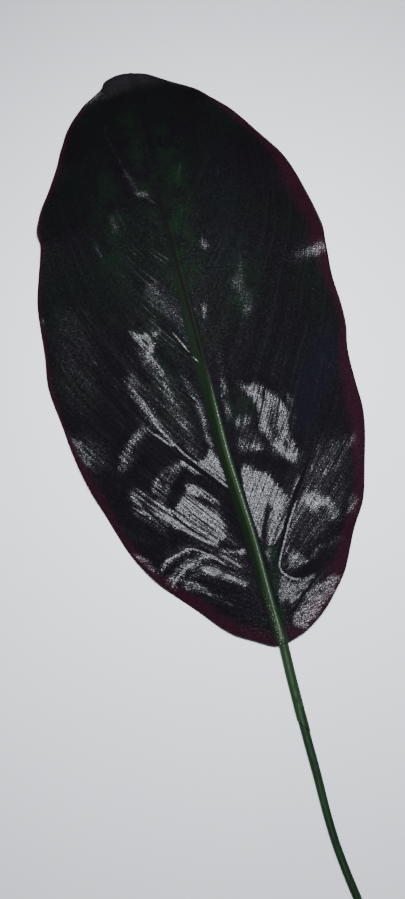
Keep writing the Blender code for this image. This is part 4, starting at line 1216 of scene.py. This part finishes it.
@dataclass
class Tube:
    """Round tube along a plan path, built ring by ring.

    Args:
        name: of the piece.
        sides: points in a ring.
    """

    name: str
    sides: int = 40

    def ring(self, centre, run, radius: float, floor: float | None = None,
             slant: float = 0.0) -> list[tuple[float, float, float]]:
        """Returns: one ring in mm, square to `run` in plan; slant shears it along run."""
        ux, uy = run
        points = []
        for i in range(self.sides):
            angle = 2 * math.pi * i / self.sides
            across, up = radius * math.cos(angle), radius * math.sin(angle)
            z = centre[2] + up
            points.append((centre[0] + across * uy + slant * across * ux,
                           centre[1] - across * ux + slant * across * uy,
                           z if floor is None else max(z, floor)))
        return points

    def along_stem(self, places, **settings) -> list:
        """Returns: a ring on the stem's line for each (y, radius) of places."""
        return [self.ring(*stem_frame(float(y)), radius, **settings) for y, radius in places]

    def beyond(self, y: float, back: float, radius: float, **settings) -> list:
        """Returns: a ring `back` mm up the straight line of the stem at y."""
        centre, run = stem_frame(y)
        place = (centre[0] + run[0] * back, centre[1] + run[1] * back, centre[2])
        return self.ring(place, run, radius, **settings)

    def join(self, rings, material: bpy.types.Material) -> bpy.types.Object:
        """Skins the rings, closes both ends and shades them by angle.

        The attribute "round" tells how far round its ring a point is: 0 right, .25 on top.

        Returns: the object, in metres.
        """
        count, last = self.sides, (len(rings) - 1) * self.sides
        points = [tuple(c * MM for c in p) for ring in rings for p in ring]
        faces = [(r * count + i, r * count + (i + 1) % count,
                  (r + 1) * count + (i + 1) % count, (r + 1) * count + i)
                 for r in range(len(rings) - 1) for i in range(count)]
        faces += [tuple(range(count))[::-1], tuple(last + i for i in range(count))]
        mesh = bpy.data.meshes.new(self.name)
        mesh.from_pydata(points, [], faces)
        mesh.materials.append(material)
        mesh.attributes.new("round", "FLOAT", "POINT").data.foreach_set(
            "value", [i / count for _ in rings for i in range(count)])
        piece = place_object(self.name, mesh)
        activate(piece)
        bpy.ops.object.mode_set(mode="EDIT")
        bpy.ops.mesh.select_all(action="SELECT")
        bpy.ops.mesh.normals_make_consistent(inside=False)
        bpy.ops.object.mode_set(mode="OBJECT")
        bpy.ops.object.shade_smooth_by_angle(angle=math.radians(38))
        return piece


def stem_frame(y: float) -> tuple[tuple[float, float, float], tuple[float, float]]:
    """Returns: the stem's centre and plan direction at y, in mm."""
    knots, xs = [-p[1] for p in STEM_PATH], [p[:1] for p in STEM_PATH]
    x, ahead = (float(spline(xs, np.asarray(v), knots=knots)[0]) for v in (-y, -y - .5))
    run = np.array([ahead - x, .5]) if y < -.5 else np.array([0.0, 1.0])
    run = run / np.linalg.norm(run)
    z = 2.3 + (1.9 - 2.3) * float(smooth(-50, -88, np.asarray(float(y))))
    return (x, y, z), (float(run[0]), float(run[1]))


def stem_radius(y: float) -> float:
    """Returns: the stem's radius at y, in mm."""
    return SHEATH - .2 * float(smooth(-50, -90, np.asarray(float(y))))


@dataclass
class Midrib(Tube):
    """Moulded rib under the blade, and the socket it ends in."""

    name: str = "midrib_socket"
    end_y: float = 304.0
    floor_y: float = -27.0
    mouth_y: float = -39.6
    slant: float = -1.43

    def rib_frame(self, y: float):
        """Returns: centre, plan direction and radius of the rib at y, in mm."""
        radius = float(level(RIB_RADIUS, np.asarray(y)))
        x, ahead = float(midrib_x(np.asarray(y))), float(midrib_x(np.asarray(y + .5)))
        run = np.array([ahead - x, .5]) / math.hypot(ahead - x, .5)
        crest = float(level(CREST, np.asarray(y))) - .85 - .3
        return (x, y, crest - radius), (float(run[0]), float(run[1])), radius

    def build(self) -> bpy.types.Object:
        """Returns: the midrib as a finished piece."""
        mouth = self.mouth_y
        rings = self.along_stem(((self.floor_y, BORE), (self.floor_y, CUP)))
        rings += self.along_stem(((mouth, CUP), (mouth - .1, 2.0)), slant=self.slant)
        rings += self.along_stem(((mouth - .1, 2.3), (mouth + .15, SLEEVE), (mouth + 2, SLEEVE)),
                                 floor=0.0, slant=self.slant)
        rings += self.along_stem(((y, SLEEVE) for y in (-32.0, -26, -20, -14, -8, -2, 3)),
                                 floor=0.0)
        for y in np.concatenate([np.arange(6, 60, 4), np.arange(61, self.end_y - 2, 5)]):
            rings.append(self.ring(*self.rib_frame(float(y)), floor=0.0))
        for back, share in ((1.2, .95), (.5, .75), (.1, .4)):
            centre, run, radius = self.rib_frame(self.end_y - back)
            rings.append(self.ring(centre, run, radius * share))
        piece = self.join(rings, StemPlastic("polyethylene, moulded rib").build())
        ride_as(piece, "midrib")
        return piece


@dataclass
class Stem(Tube):
    """Green sheath from its spigot in the socket to the plain cut end."""

    name: str = "stem_sheath"
    end_y: float = -27.6
    cut_y: float = -190.0
    shoulder_y: float = -40.12
    slant: float = -1.43

    def build(self) -> bpy.types.Object:
        """Returns: the stem as a finished piece."""
        shoulder = self.shoulder_y
        rings = self.along_stem(((-30.0, BORE), (self.end_y, BORE), (self.end_y, SPIGOT)))
        rings += self.along_stem(((shoulder, SPIGOT), (shoulder, 1.95), (shoulder - .15, SHEATH)),
                                 slant=self.slant)
        rings += self.along_stem(((y, stem_radius(y)) for y in np.arange(-46, self.cut_y, -3.0)),
                                 floor=0.0)
        for radius, back in ((1.9, .12), (1.8, 0.0), (BORE, 0.0), (BORE, 6.0)):
            rings.append(self.beyond(self.cut_y, back, radius, floor=0.0))
        # The sheath's light colour is its painted top highlight.
        piece = self.join(rings, StemPlastic("polyethylene, extruded sheath",
                                             base="#112614", dark="#0b1c0e",
                                             light="#28442a").build())
        ride_as(piece, "stem")
        return piece


@dataclass
class Wire(Tube):
    """Steel core from the socket to just past the cut end, snipped there."""

    name: str = "core_wire"
    sides: int = 20
    radius: float = .65
    cut_y: float = -190.0
    proud: float = .6

    def build(self) -> bpy.types.Object:
        """Returns: the wire as a finished piece."""
        rings = self.along_stem(((-21.6, self.radius - .15), (-21.75, self.radius)))
        rings += self.along_stem((y, self.radius) for y in np.arange(-26, self.cut_y, -4.0))
        for ahead, radius in ((self.proud - .1, self.radius), (self.proud, .5)):
            rings.append(self.beyond(self.cut_y, -ahead, radius))
        piece = self.join(rings, DrawnSteel().build())
        ride_as(piece, "stem_wire")
        return piece


# Fill lamps: name, place in metres, power and colour.
FILLS = (("fill_base", (.35, -1.0, .75), .7, "#bccdf7"),
         ("fill_left", (-1.1, .1, .6), .35, "#ffffff"),
         ("fill_right", (1.1, .0, .6), .6, "#ccd8f8"))


@dataclass
class Studio:
    """Plain pale floor, soft light and the photograph's camera.

    Args:
        eye: camera place in metres, worked out from the board's flutes.
        right, up: of the camera.
        lens: in mm, on a sensor 36 mm wide.
        key: main soft lamp's place in metres; key_size in metres, key_power in watts and
            key_spread in degrees.
        fill_size: of the fill lamps in metres.
        ambient: strength of the surroundings.
    """

    eye: tuple[float, float, float] = (-.02207, .02748, .35393)
    right: tuple[float, float, float] = (.96926, -.24353, -.03512)
    up: tuple[float, float, float] = (.24526, .94485, .21705)
    lens: float = 27.03
    key: tuple[float, float, float] = (.032, .179, .52)
    key_size: float = .12
    key_power: float = 3.6
    key_spread: float = 115.0
    fill_size: float = .9
    ambient: float = .08

    def camera(self) -> None:
        """Adds the camera at the photograph's view and makes it the scene's."""
        data = bpy.data.cameras.new("photo_camera")
        data.lens, data.sensor_width, data.clip_start = self.lens, 36.0, .01
        camera = place_object("photo_camera", data)
        right, up = Vector(self.right).normalized(), Vector(self.up).normalized()
        back = right.cross(up)
        turn = Matrix((right, up, back)).transposed().to_4x4()
        camera.matrix_world = Matrix.Translation(self.eye) @ turn
        bpy.context.scene.camera = camera

    def lamp(self, name: str, place, target, size: float, power: float,
             spread: float = 180.0, tint: str = "#ffffff") -> None:
        """Adds a round soft lamp that faces target; spread is its beam in degrees."""
        data = bpy.data.lights.new(name, "AREA")
        data.shape, data.size, data.energy = "DISK", size, power
        data.spread, data.color = math.radians(spread), linear(tint)[:3]
        lamp = place_object(name, data)
        aim = Vector(target) - Vector(place)
        lamp.matrix_world = (Matrix.Translation(place)
                             @ aim.to_track_quat("-Z", "Y").to_matrix().to_4x4())

    def build(self) -> None:
        """Builds floor, lamps, surroundings and camera."""
        bpy.ops.mesh.primitive_plane_add(size=8.0, location=(0, 0, 0))
        floor = bpy.context.object
        floor.name = "floor"
        n = Nodes("paper board, plain")
        colour = n.mix(n.noise(60, 3.0), "#cdcfd8", "#d2d4dc")
        floor.data.materials.append(n.finish(colour, .9, n.bump(n.noise(1.5), .02),
                                             Specular_IOR_Level=.2))
        floor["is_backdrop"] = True
        self.lamp("key", self.key, (.01, .12, 0), self.key_size, self.key_power,
                  self.key_spread)
        for name, place, power, tint in FILLS:
            self.lamp(name, place, (0, .1, 0), self.fill_size, power, tint=tint)
        world = bpy.data.worlds.new("soft room")
        world.use_nodes = True
        background = world.node_tree.nodes["Background"]
        background.inputs["Color"].default_value = linear("#e8ebf0")
        background.inputs["Strength"].default_value = self.ambient
        bpy.context.scene.world = world
        self.camera()


def write_sizes() -> None:
    def plain(box):
        return [[float(c) for c in corner] for corner in box]
    {"cad": plain(CAD_BOX), "visual": plain(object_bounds())}


def main() -> None:
    """Builds the leaf and the studio."""
    Blade().build()
    Midrib().build()
    Stem().build()
    Wire().build()
    Studio().build()
    write_sizes()


if __name__ == "__main__":
    main()
